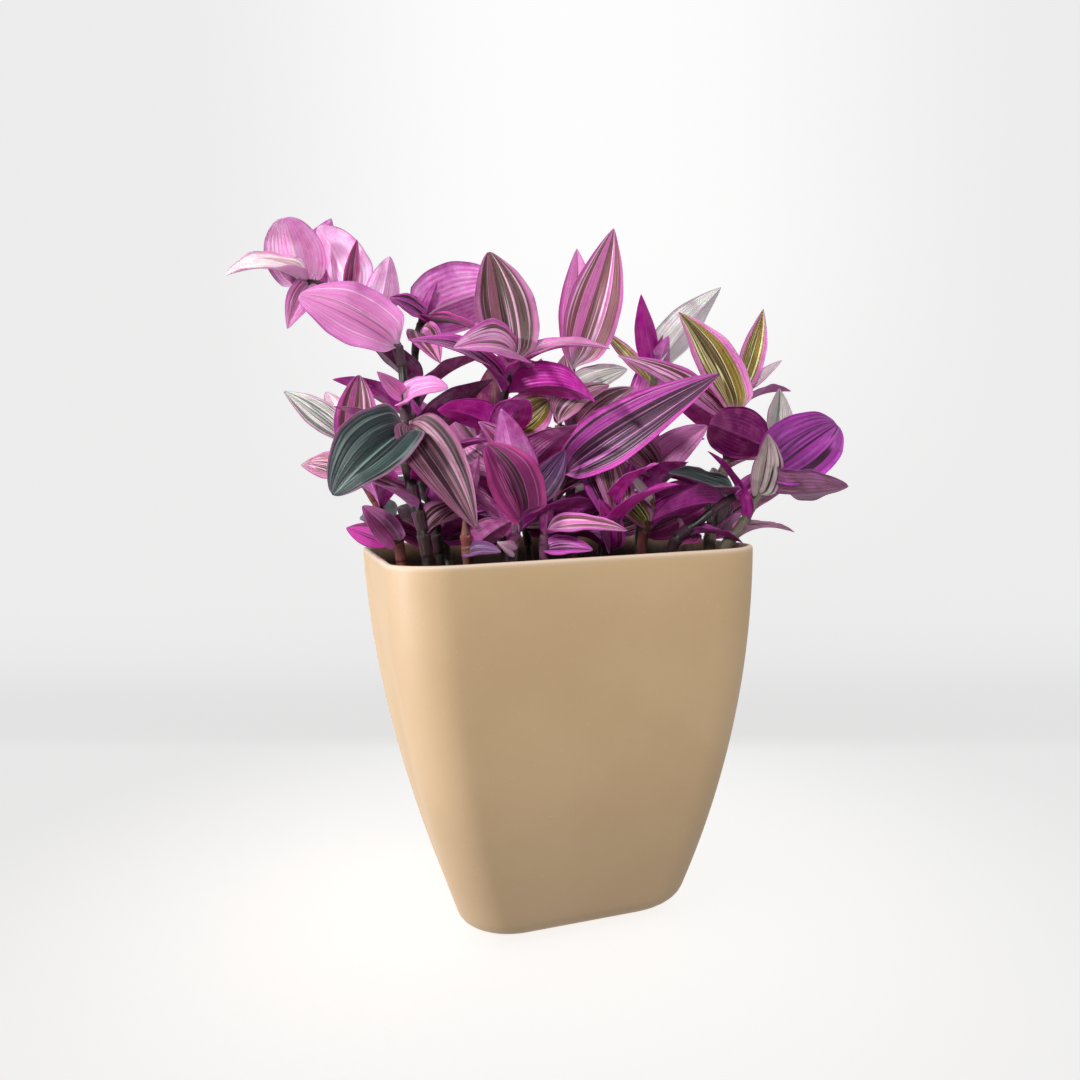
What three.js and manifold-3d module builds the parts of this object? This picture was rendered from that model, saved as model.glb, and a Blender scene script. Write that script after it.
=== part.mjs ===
// A potted tradescantia: a square tapered planter, the compost that fills it, and the leafy shoots
// that stand in the compost. Millimetres, +Z up, origin at the centre of the planter's foot,
// -Y towards the front.
import * as THREE from "three";
import { mergeVertices } from "three/addons/utils/BufferGeometryUtils.js";
import Module from "manifold-3d";

const wasm = await Module();
wasm.setup();

// ---------------------------------------------------------------- driving dimensions

const POT = {
  height: 156,
  rimHalf: 75, // half of the side across the rim, outside
  footHalf: 46.8, // half of the side that the tapered wall would have at the surface
  bow: 0.854, // how far the wall bulges out of a straight taper
  rimCorner: 25, // corner radius at the rim
  footCorner: 19, // corner radius at the foot
  footFillet: 9, // rounding between the wall and the foot
  wall: 2.6,
  floor: 3.5,
  lip: 0.8, // rounding of the rim's edges
  drainRadius: 4.5,
  drainOffset: 24,
};
const WALL_LEVELS = [38, 76, 112, 133]; // heights of the wall's rings, the last one at the compost's edge
const COMPOST = { top: 136, gap: 0.35, swell: 2.2 };
const STEM = { foot: 104, footRadius: 2.9, topRadius: 1.6, sides: 6, holeGap: 0.35 };
const LEAF = {
  thickness: 0.9,
  stations: [0, 0.18, 0.42, 0.7, 0.9, 1], // along the midrib, from the stem to the tip
  fewStations: [0, 0.2, 0.52, 0.84, 1], // the same on narrow leaves and on those placed by rule
  narrow: 16, // the width under which a leaf has the fewer stations
  fold: 20, // degrees that each half rises from flat
  baseFold: 62, // the same where the leaf clasps the stem
  baseHalf: 1, // half of the blade's width where it meets the stem
  widest: 0.68, // exponent that sets how near the stem the blade is widest
  blunt: { from: 0.4, to: 0.85, widest: 0.1, round: 0.35 }, // how a leaf broad for its length differs
  crest: 0.42, // where along the chord the midrib stands highest
  wave: 0.035, // height of the edge's waves, as a share of the width
  waves: 1.6,
};
const SIMPLIFY = [0.06, 0.05, 0.03, 0.02, 0.01]; // how far a fused skin may move, the first that serves
const CLEAR = { gap: 0.4, free: 0.34, step: 3, tries: 130, shrinks: [1, 0.86, 0.72] };

const COLOURS = {
  planter: 0xd8bd92,
  compost: 0x3b2a20,
  foliage: 0xa8459a,
};

// ---------------------------------------------------------------- the shoots

// Each shoot has the knots that its stem runs through, and its leaves. A leaf is
// [knot, tip x, tip y, tip z, width, arch, lean]: the knot that it grows at, counted along the stem,
// where its tip reaches, its widest width, how far its midrib stands out of the straight line, and
// which way its upper side turns, in degrees from up towards the front, so that a minus sign shows
// its underside there. fill adds leaves by rule: [from knot, to knot, how many, mean length].
const SHOOTS = {
  shoot_left_tall: {
    stem: [
      [-56, -31, STEM.foot], [-56, -31, 153], [-59, -30, 175], [-62, -26, 195], [-61, -22, 216],
      [-62, -18, 239], [-69, -14, 254], [-83, -8, 265], [-98, -3, 269],
    ],
    leaves: [
      [5.1, -100, -16, 261, 30, 4, 70],
      [8, -104, -9, 293, 27, 4, -70],
      [7.9, -127, -7, 274, 22, 5, 30],
      [7.8, -105, -15, 248, 12, 2, 60],
      [6.9, -99, 2, 289, 26, 4, -60],
      [7.7, -84, 18, 302, 23, 5, -60],
      [6.8, -76, -12, 285, 7, 1, 60],
      [6, -63, -11, 279, 16, 2, -80],
      [3.5, -92, -41, 182, 31, 8, 55],
      [3.7, -39, -59, 173, 25, 5, 75],
      [4, -46, -38, 222, 16, 4, 50],
      [4.2, -69, -30, 232, 8, 1, 80],
    ],
    fill: [1.2, 3.2, 4, 40],
  },
  shoot_left_back: {
    stem: [
      [-47, -7, STEM.foot], [-47, -7, 154], [-53, -2, 196], [-54, -1, 221], [-53, -4, 244], [-49, -4, 256],
    ],
    leaves: [
      [5, -12, -4, 270, 34, 7, -65],
      [4.9, -64, -11, 262, 12, 2, 60],
      [4.7, -30, -26, 246, 14, 3, 20],
      [4.4, -44, -31, 240, 15, 3, 70],
      [1.9, -82, 3, 192, 15, 3, 60],
      [1.2, -60, 22, 176, 16, 3, 65],
    ],
    fill: [1.2, 3.3, 6, 42],
  },
  shoot_left_low: {
    stem: [[-63, 0, STEM.foot], [-63, 0, 155], [-70, -3, 172], [-78, 1, 191], [-82, 3, 204]],
    leaves: [
      [4, -108, 12, 227, 15, 3, 70],
      [3.7, -77, -2, 232, 20, 3, 80],
      [4, -90, 22, 231, 12, 3, 50],
      [1.3, -78, -4, 178, 14, 3, 75],
      [1.2, -84, 24, 167, 13, 2, 75],
    ],
    fill: [1.2, 3.6, 4, 40],
  },
  shoot_centre_left: {
    stem: [
      [-24, -35, STEM.foot], [-24, -35, 154], [-25, -36, 178], [-25, -36, 198], [-24, -36, 217], [-20, -36, 231],
    ],
    leaves: [
      [5, -26, -31, 277, 28, 4, 75],
      [4.9, -46, -61, 241, 22, 9, 55],
      [4.2, -62, -45, 239, 16, 8, 40],
      [4.6, 9, -62, 241, 17, 7, 30],
      [4.2, 2, -73, 216, 20, 8, -60],
      [3.4, -52, -46, 213, 15, 4, -50],
      [2.9, -37, -49, 208, 12, 2, 70],
      [3.3, -3, -30, 218, 20, 3, 80],
    ],
    fill: [1.1, 3.2, 4, 42],
  },
  shoot_front_centre: {
    stem: [[-27, -53, STEM.foot], [-27, -53, 155], [-25, -53, 165], [-22, -53, 176]],
    leaves: [
      [2.6, -36, -58, 199, 25, 5, 60],
      [3, -5, -58, 198, 14, 3, 70],
      [1.3, -36, -68, 163, 6, 1, 85],
    ],
    fill: [1.1, 2.8, 3, 38],
  },
  shoot_centre: {
    stem: [[-9, -37, STEM.foot], [-9, -37, 154], [-6, -38, 173], [-1, -40, 187], [-1, -38, 207]],
    leaves: [
      [3, 48, -82, 222, 26, 4, 65],
      [4, 15, -50, 223, 15, 4, 40],
      [4, 0, -35, 243, 14, 2, 80],
    ],
    fill: [1.1, 2.8, 4, 42],
  },
  shoot_tall: {
    stem: [[12, -10, STEM.foot], [12, -10, 151], [12, -11, 185], [13, -12, 217], [13, -13, 233]],
    leaves: [
      [4, 33, -18, 293, 27, 4, 85],
      [3.9, 21, -3, 288, 20, 4, 75],
      [3.3, 36, -22, 232, 15, 3, 60],
      [1.8, 37, -11, 220, 19, 3, 70],
      [1.3, 36, 8, 176, 18, 3, 65],
    ],
    fill: [1.2, 3.4, 6, 44],
  },
  shoot_right_top: {
    stem: [[60, -46, STEM.foot], [60, -46, 150], [65, -46, 174], [72, -45, 199], [76, -44, 218]],
    leaves: [
      [3.5, 54, -36, 254, 24, 5, 70],
      [3.1, 22, -45, 234, 20, 6, 50],
      [4, 86, -40, 259, 13, 2, 85],
      [4, 98, -43, 235, 6, 1, 60],
      [1.6, 64, -39, 187, 15, 3, 70],
      [1.3, 84, -30, 172, 18, 3, 60],
    ],
    fill: [1.2, 3.8, 5, 40],
  },
  shoot_right_back: {
    stem: [[50, 4, STEM.foot], [50, 4, 148], [54, 1, 198], [56, -6, 233]],
    leaves: [
      [3, 83, -20, 269, 21, 4, -70],
      [3, 51, -11, 268, 12, 2, -70],
      [2.8, 37, 0, 259, 9, 2, 60],
      [1.2, 84, -6, 172, 20, 3, 65],
    ],
    fill: [1.2, 2.4, 6, 44],
  },
  shoot_right: {
    stem: [[58, -60, STEM.foot], [58, -60, 149], [68, -62, 165], [76, -61, 179], [84, -59, 194]],
    leaves: [
      [4, 53, -61, 207, 24, 5, -65],
      [4, 91, -53, 220, 14, 1, 85],
      [3.2, 113, -61, 204, 31, 5, 62],
      [3, 105, -79, 179, 26, -3, -35],
      [2.8, 73, -73, 200, 16, 2, 85],
    ],
    fill: [1.4, 2.2, 2, 30],
  },
  shoot_right_mid: {
    stem: [[37, -58, STEM.foot], [37, -58, 153], [49, -62, 167], [62, -65, 176]],
    leaves: [
      [3, 32, -69, 186, 19, 1, 25],
      [2.8, 26, -71, 174, 17, 3, -50],
      [1.3, 52, -46, 166, 14, 3, 70],
    ],
    fill: [1.3, 2.6, 2, 34],
  },
  shoot_mid_right: {
    stem: [[34, -36, STEM.foot], [34, -36, 152], [37, -38, 169], [39, -38, 188]],
    leaves: [
      [2.2, 22, -50, 187, 8, 1, 60],
      [3, 58, -52, 205, 17, 3, 60],
      [3, 25, -47, 215, 16, 3, 60],
      [1.7, 19, -37, 188, 13, 3, 70],
    ],
    fill: [1.3, 3, 4, 40],
  },
  shoot_low_centre: {
    stem: [[-15, -57, STEM.foot], [-15, -57, 153], [-14, -56, 164]],
    leaves: [
      [2, 12, -76, 165, 14, 3, 35],
      [1.4, 1, -68, 158, 11, 2, 50],
    ],
    fill: [1.2, 2, 2, 30],
  },
  shoot_low_left: {
    stem: [[-42, -45, STEM.foot], [-42, -45, 152], [-43, -46, 166], [-41, -46, 179]],
    leaves: [
      [1.3, -34, -66, 159, 10, 2, 60],
    ],
    fill: [1.2, 3, 4, 36],
  },
  shoot_low_right: {
    stem: [[11, -54, STEM.foot], [11, -54, 150], [13, -56, 163], [17, -55, 175]],
    leaves: [
      [2.2, 7, -37, 195, 15, 3, 60],
      [1.5, 6, -62, 177, 13, 3, 50],
    ],
    fill: [1.2, 3, 4, 36],
  },
  shoot_inner: {
    stem: [[-14, 4, STEM.foot], [-15, 4, 150], [-18, 4, 178], [-17, 3, 204]],
    leaves: [
      [1.6, -1, 11, 190, 20, 3, 75],
      [2.4, -37, 32, 225, 18, 3, 75],
    ],
    fill: [1.2, 3, 6, 44],
  },
  shoot_back_left: {
    stem: [[-34, 36, STEM.foot], [-36, 38, 150], [-42, 40, 178], [-45, 42, 200]],
    leaves: [
      [1.2, -70, 34, 170, 18, 3, 65],
      [1.3, -8, 30, 172, 20, 3, 65],
    ],
    fill: [1.2, 3, 6, 44],
  },
  shoot_back_middle: {
    stem: [[6, 40, STEM.foot], [6, 42, 150], [5, 46, 184], [8, 49, 214]],
    leaves: [
      [1.3, 38, 30, 168, 20, 3, 65],
    ],
    fill: [1.2, 3, 7, 46],
  },
  shoot_back_right: {
    stem: [[44, 44, STEM.foot], [46, 46, 150], [52, 50, 178], [57, 52, 200]],
    leaves: [
      [1.3, 80, 36, 168, 20, 3, 65],
    ],
    fill: [1.2, 3, 6, 44],
  },
};

// ---------------------------------------------------------------- solids

const radians = THREE.MathUtils.degToRad;
const UP = new THREE.Vector3(0, 0, 1);

// A closed skin over rings of points, each ring turning anticlockwise about the way that they are
// stacked. flipped says which of a ring's sides take the other diagonal.
function skin(rings, flipped = () => false) {
  const around = rings[0].length;
  const points = rings.flat();
  const faces = [];
  for (let i = 0; i + 1 < rings.length; i++) {
    for (let j = 0; j < around; j++) {
      const a = i * around + j;
      const b = i * around + ((j + 1) % around);
      const c = b + around;
      const d = a + around;
      faces.push(...(flipped(j) ? [a, b, d, b, c, d] : [a, b, c, a, c, d]));
    }
  }
  const last = (rings.length - 1) * around;
  for (let j = 1; j + 1 < around; j++) {
    faces.push(0, j + 1, j);
    faces.push(last, last + j, last + j + 1);
  }
  const geometry = new THREE.BufferGeometry().setFromPoints(points);
  geometry.setIndex(faces);
  return geometry;
}

// The manifold solid of a closed geometry, without the faces that have shrunk to a line.
function solidOf(geometry) {
  const merged = mergeVertices(geometry, 1e-4);
  const index = merged.index.array;
  const kept = [];
  for (let i = 0; i < index.length; i += 3) {
    const [a, b, c] = index.subarray(i, i + 3);
    if (a !== b && b !== c && c !== a) kept.push(a, b, c);
  }
  return new wasm.Manifold(
    new wasm.Mesh({
      numProp: 3,
      vertProperties: merged.attributes.position.array,
      triVerts: new Uint32Array(kept),
    }),
  );
}

// The geometry of a manifold solid.
function geometryOf(solid) {
  const mesh = solid.getMesh();
  const geometry = new THREE.BufferGeometry();
  geometry.setAttribute("position", new THREE.BufferAttribute(mesh.vertProperties, 3));
  geometry.setIndex(new THREE.BufferAttribute(mesh.triVerts, 1));
  geometry.computeVertexNormals();
  return geometry;
}

// Whether no two corners of a solid fall on one point of a fine grid.
function hasDistinctPoints(solid) {
  const { vertProperties } = solid.getMesh();
  const seen = new Set();
  for (let i = 0; i < vertProperties.length; i += 3) {
    seen.add(Array.from(vertProperties.subarray(i, i + 3), (value) => Math.round(value * 1000)).join());
  }
  return seen.size === vertProperties.length / 3;
}

// The fused solid's outer skin alone, which fills any hollow that the fusing has sealed, with its
// needless points left out.
function oneBody(solid) {
  for (const tolerance of SIMPLIFY) {
    const skins = solid.asOriginal().simplify(tolerance).decompose();
    const outer = skins.reduce((largest, next) => (next.volume() > largest.volume() ? next : largest));
    if (hasDistinctPoints(outer)) return outer;
  }
  throw new Error("two corners of a fused skin fall together");
}

// ---------------------------------------------------------------- planter and compost

// Half of the planter's outside width at a height.
function wallHalf(z) {
  const t = z / POT.height;
  const half = POT.footHalf + (POT.rimHalf - POT.footHalf) * (t + POT.bow * t * (1 - t));
  const lift = Math.max(0, 1 - z / POT.footFillet);
  return half - POT.footFillet * (1 - Math.sqrt(1 - lift * lift));
}

// The radius of the planter's outside corners at a height.
function cornerRadius(z) {
  return POT.footCorner + (POT.rimCorner - POT.footCorner) * (z / POT.height);
}

// A square ring with rounded corners, set in from the planter's outside.
function squareRing(z, inset, at = z, shrink = 1) {
  const steps = 5;
  const half = wallHalf(at) - inset;
  const radius = Math.max(1, cornerRadius(at) - inset);
  const ring = [];
  for (const [sx, sy, start] of [[1, 1, 0], [-1, 1, 90], [-1, -1, 180], [1, -1, 270]]) {
    for (let k = 0; k <= steps; k++) {
      const angle = radians(start + (90 * k) / steps);
      const x = sx * (half - radius) + radius * Math.cos(angle);
      const y = sy * (half - radius) + radius * Math.sin(angle);
      ring.push(new THREE.Vector3(x * shrink, y * shrink, z));
    }
  }
  return ring;
}

function planter() {
  const lip = POT.height - POT.lip;
  const outside = [0, 1.6, POT.footFillet, ...WALL_LEVELS, lip];
  const inside = [lip, ...WALL_LEVELS.toReversed(), POT.floor + 4];
  const rings = [
    ...outside.map((z) => squareRing(z, 0)),
    squareRing(POT.height, POT.lip),
    squareRing(POT.height, POT.wall - POT.lip),
    ...inside.map((z) => squareRing(z, POT.wall)),
    squareRing(POT.floor, POT.wall + 3, POT.floor + 4),
  ];
  let solid = solidOf(skin(rings));
  for (const [sx, sy] of [[1, 1], [-1, 1], [-1, -1], [1, -1]]) {
    const drain = new THREE.CylinderGeometry(POT.drainRadius, POT.drainRadius, 4 * POT.floor, 8);
    drain.rotateX(Math.PI / 2).translate(sx * POT.drainOffset, sy * POT.drainOffset, 0);
    drain.deleteAttribute("normal").deleteAttribute("uv");
    solid = solid.subtract(solidOf(drain));
  }
  return solid;
}

// How far the compost's surface stands above or below its level.
function compostRelief(x, y) {
  const crumbs = Math.sin(x * 0.23 + 1.3) * Math.cos(y * 0.19 - 0.4);
  return COMPOST.swell * (crumbs + 0.5 * Math.sin((x + y) * 0.11));
}

function compost() {
  const inset = POT.wall + COMPOST.gap;
  const rings = [
    squareRing(POT.floor + COMPOST.gap, inset + 3.5, POT.floor + 4),
    ...[POT.floor + 5, ...WALL_LEVELS].map((z) => squareRing(z, inset)),
    ...[0.95, 0.62, 0.28].map((shrink) => squareRing(COMPOST.top, inset, COMPOST.top, shrink)),
  ];
  for (const ring of rings.slice(-3)) {
    for (const point of ring) point.z += compostRelief(point.x, point.y);
  }
  return solidOf(skin(rings));
}

// ---------------------------------------------------------------- stems

class Stem {
  constructor(knots) {
    this.knots = knots.map((knot) => new THREE.Vector3(...knot));
    this.last = knots.length - 1;
  }

  // The point at a knot number, which may lie between two knots.
  point(knot) {
    const below = Math.min(Math.floor(knot), this.last - 1);
    return this.knots[below].clone().lerp(this.knots[below + 1], knot - below);
  }

  // The way that the stem runs at a whole knot.
  along(knot) {
    const next = this.knots[Math.min(knot + 1, this.last)];
    return next.clone().sub(this.knots[Math.max(knot - 1, 0)]).normalize();
  }

  radius(knot) {
    return STEM.footRadius + (STEM.topRadius - STEM.footRadius) * (knot / this.last);
  }

  // The stem as a solid, up to a knot, with its skin moved out by grow.
  solid(grow = 0, top = this.last) {
    const rings = [];
    for (let knot = 0; knot <= top; knot++) {
      const along = this.along(knot);
      const side = new THREE.Vector3(0, 1, 0).cross(along).normalize();
      const front = along.clone().cross(side);
      const reach = this.radius(knot) + grow;
      const ring = [];
      for (let k = 0; k < STEM.sides; k++) {
        const angle = (2 * Math.PI * k) / STEM.sides;
        ring.push(
          this.knots[knot].clone()
            .addScaledVector(along, knot === 0 ? -grow : 0)
            .addScaledVector(side, reach * Math.cos(angle))
            .addScaledVector(front, reach * Math.sin(angle)),
        );
      }
      rings.push(ring);
    }
    return solidOf(skin(rings));
  }
}

// ---------------------------------------------------------------- leaves

// The blade's half width at a share of its length, as a share of the widest. A blunt blade is widest
// nearer its tip, and its tip is round.
function outline(u, blunt) {
  const power = (0.62 + 0.2 * u) * (1 - LEAF.blunt.round * blunt);
  return Math.sin(Math.PI * u ** (LEAF.widest + LEAF.blunt.widest * blunt)) ** power;
}

// A leaf between its root on the stem and its tip.
class Leaf {
  constructor(root, tip, width, arch, face, twist = 0, few = width < LEAF.narrow) {
    const blunt = THREE.MathUtils.smoothstep(width / root.distanceTo(tip), LEAF.blunt.from, LEAF.blunt.to);
    Object.assign(this, { root, tip, width, arch, face, twist, few, blunt });
  }

  // The same leaf turned about the stem and lifted, in degrees, and shortened.
  swung(turn, lift, shrink) {
    const side = UP.clone().cross(this.tip.clone().sub(this.root)).normalize();
    const swing = (vector) => vector.applyAxisAngle(side, -radians(lift)).applyAxisAngle(UP, radians(turn));
    const tip = swing(this.tip.clone().sub(this.root)).multiplyScalar(shrink).add(this.root);
    const face = swing(this.face.clone());
    const { root, width, arch, twist, few } = this;
    return new Leaf(root, tip, width * shrink, arch * shrink, face, twist, few);
  }

  // The leaf's frame: the chord, the side and the face that it turns up.
  frame() {
    const chord = this.tip.clone().sub(this.root);
    const way = chord.clone().normalize();
    const side = way.clone().cross(this.face).normalize();
    const face = side.clone().cross(way);
    return { chord, side, face };
  }

  // The ring of the blade's section at a share of its length, grown on all sides.
  ring(u, grow) {
    const { chord, side, face } = this.frame();
    const control = this.root.clone().addScaledVector(chord, LEAF.crest).addScaledVector(face, 2 * this.arch);
    const midrib = new THREE.QuadraticBezierCurve3(this.root, control, this.tip);
    const centre = midrib.getPoint(u);
    const along = midrib.getTangent(u);
    if (u === 1) centre.addScaledVector(along, grow);
    const twist = radians(this.twist * u);
    const across = side.clone().applyAxisAngle(along, twist);
    const normal = across.clone().cross(along);
    const fold = radians(LEAF.fold + (LEAF.baseFold - LEAF.fold) * (1 - u) ** 4);
    const shape = outline(u, this.blunt);
    const half = u === 1 ? 0 : Math.max((this.width / 2) * shape, LEAF.baseHalf) + grow;
    const thick = u === 1 ? 0 : LEAF.thickness / 2 + grow;
    const ring = [];
    for (const [s, up] of [[-1, 1], [0, 1], [1, 1], [1, -1], [0, -1], [-1, -1]]) {
      const wave = LEAF.wave * this.width * Math.sin(2 * Math.PI * LEAF.waves * u + s) * Math.abs(s);
      ring.push(
        centre.clone()
          .addScaledVector(across, s * half * Math.cos(fold))
          .addScaledVector(normal, Math.abs(s) * half * Math.sin(fold) + wave * shape + up * thick),
      );
    }
    return ring;
  }

  // The blade as a solid, from a share of its length on.
  solid(from = 0, grow = 0) {
    const stations = [from, ...(this.few ? LEAF.fewStations : LEAF.stations).filter((u) => u > from)];
    const underside = (j) => j === 3 || j === 4;
    return solidOf(skin(stations.map((u) => this.ring(u, grow)), underside));
  }
}

// ---------------------------------------------------------------- placing the leaves

// A repeatable draw between -1 and 1.
let drawn = 20117;
function draw() {
  drawn = (drawn * 16807) % 2147483647;
  return (2 * drawn) / 2147483647 - 1;
}

// The leaves that a shoot has by rule: one at each joint, on alternate sides of the stem.
function filledLeaves(stem, [from, to, count, size]) {
  const leaves = [];
  let azimuth = 180 * draw();
  for (let i = 0; i < count; i++) {
    const knot = from + ((to - from) * (i + 0.5)) / count;
    const root = stem.point(knot);
    azimuth += 180 + 40 * draw();
    const turn = radians(azimuth);
    const lift = radians(18 + 45 * (i / count) + 14 * draw());
    const length = size * (1 + 0.16 * draw());
    const way = new THREE.Vector3(
      Math.cos(lift) * Math.cos(turn),
      Math.cos(lift) * Math.sin(turn),
      Math.sin(lift),
    );
    const tip = root.clone().addScaledVector(way, length);
    const face = UP.clone().applyAxisAngle(way, radians(45 * draw()));
    leaves.push(new Leaf(root, tip, 0.46 * length, 0.12 * length, face, 16 * draw(), true));
  }
  return leaves;
}

const potSolid = planter();
const stems = new Map();
for (const [name, shoot] of Object.entries(SHOOTS)) stems.set(name, new Stem(shoot.stem));

let soilSolid = compost();
for (const stem of stems.values()) soilSolid = soilSolid.subtract(stem.solid(STEM.holeGap, 1));

// What has been placed: whole blades and stems, and the outer part of each blade, which must also
// stay clear of its own shoot.
const placed = [
  { shoot: "", whole: potSolid },
  { shoot: "", whole: soilSolid },
];
for (const [name, stem] of stems) placed.push({ shoot: name, whole: stem.solid(), outer: stem.solid() });
for (const piece of placed) piece.box = piece.whole.boundingBox();

function boxesMeet(a, b) {
  return [0, 1, 2].every((k) => a.min[k] <= b.max[k] && b.min[k] <= a.max[k]);
}

function isClear(leaf, shoot) {
  const whole = leaf.solid(0, CLEAR.gap);
  const outer = leaf.solid(CLEAR.free, CLEAR.gap);
  const box = whole.boundingBox();
  return placed.every((piece) => {
    if (!boxesMeet(box, piece.box)) return true;
    const [mine, theirs] = piece.shoot === shoot ? [outer, piece.outer] : [whole, piece.whole];
    return mine.intersect(theirs).isEmpty();
  });
}

// Swings a leaf by the smallest step that brings it clear, on a spiral of steps, shorter if no step
// is clear at its full length. It gives nothing where none is.
function settle(leaf, shoot) {
  for (const shrink of CLEAR.shrinks) {
    for (let i = 0; i < CLEAR.tries; i++) {
      const reach = CLEAR.step * Math.sqrt(i);
      const angle = radians(137.5 * i);
      const tried = leaf.swung(reach * Math.cos(angle), reach * Math.sin(angle), shrink);
      if (isClear(tried, shoot)) return tried;
    }
  }
  return null;
}

function place(leaf, shoot) {
  const settled = settle(leaf, shoot);
  if (!settled) return null;
  const whole = settled.solid();
  placed.push({ shoot, whole, outer: settled.solid(CLEAR.free), box: whole.boundingBox() });
  return whole;
}

const blades = new Map([...stems.keys()].map((name) => [name, []]));
for (const [name, shoot] of Object.entries(SHOOTS)) {
  for (const [knot, x, y, z, width, arch, lean] of shoot.leaves) {
    const face = new THREE.Vector3(0, -Math.sin(radians(lean)), Math.cos(radians(lean)));
    const leaf = new Leaf(stems.get(name).point(knot), new THREE.Vector3(x, y, z), width, arch, face);
    blades.get(name).push(place(leaf, name));
  }
}
for (const [name, shoot] of Object.entries(SHOOTS)) {
  for (const leaf of filledLeaves(stems.get(name), shoot.fill)) blades.get(name).push(place(leaf, name));
}

// ---------------------------------------------------------------- the part

const part = new THREE.Group();

function addMesh(name, solid, color, roughness) {
  const material = new THREE.MeshStandardMaterial({ color, roughness, metalness: 0 });
  const mesh = new THREE.Mesh(geometryOf(solid), material);
  mesh.name = name;
  part.add(mesh);
}

addMesh("planter", potSolid, COLOURS.planter, 0.6);
addMesh("compost", soilSolid, COLOURS.compost, 1);
for (const [name, stem] of stems) {
  const solid = blades.get(name).filter(Boolean).reduce((sum, blade) => sum.add(blade), stem.solid());
  addMesh(name, oneBody(solid), COLOURS.foliage, 0.5);
}

export default part;
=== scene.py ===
"""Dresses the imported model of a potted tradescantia: a square tapered planter, the compost in it,
and the leafy shoots, each with its jointed stem, sheaths, striped leaves and buds. Each operator
makes one piece, or a group of like pieces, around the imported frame. Sizes are in millimetres and
turned to metres where a mesh is made."""

from math import cos, exp, pi, radians, sin, sqrt

import bpy
import numpy as np
from bpy.props import FloatProperty, FloatVectorProperty, IntProperty, PointerProperty
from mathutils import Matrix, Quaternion, Vector, noise


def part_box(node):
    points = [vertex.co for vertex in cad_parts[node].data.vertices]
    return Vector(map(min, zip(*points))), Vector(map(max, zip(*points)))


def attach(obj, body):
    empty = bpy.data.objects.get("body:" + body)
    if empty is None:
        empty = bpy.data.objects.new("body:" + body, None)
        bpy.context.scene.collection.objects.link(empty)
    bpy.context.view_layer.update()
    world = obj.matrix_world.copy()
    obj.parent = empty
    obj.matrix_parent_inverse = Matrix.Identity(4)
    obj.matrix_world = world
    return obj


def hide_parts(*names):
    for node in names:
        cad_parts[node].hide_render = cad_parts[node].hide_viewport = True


bl_info = {
    "name": "Potted tradescantia",
    "version": (1, 0, 0),
    "blender": (4, 5, 0),
    "location": "View3D > Sidebar > Tradescantia",
    "description": "Dresses a potted tradescantia around its packed model",
    "category": "Object",
}

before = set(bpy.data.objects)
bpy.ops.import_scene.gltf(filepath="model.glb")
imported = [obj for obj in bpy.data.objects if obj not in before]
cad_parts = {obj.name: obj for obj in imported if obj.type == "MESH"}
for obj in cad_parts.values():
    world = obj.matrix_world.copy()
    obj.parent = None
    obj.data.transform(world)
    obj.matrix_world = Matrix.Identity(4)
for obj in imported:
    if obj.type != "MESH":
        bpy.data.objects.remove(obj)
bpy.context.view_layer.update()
MM = 0.001
UP = Vector((0, 0, 1))

# ------------------------------------------------------------------ the shoots

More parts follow.
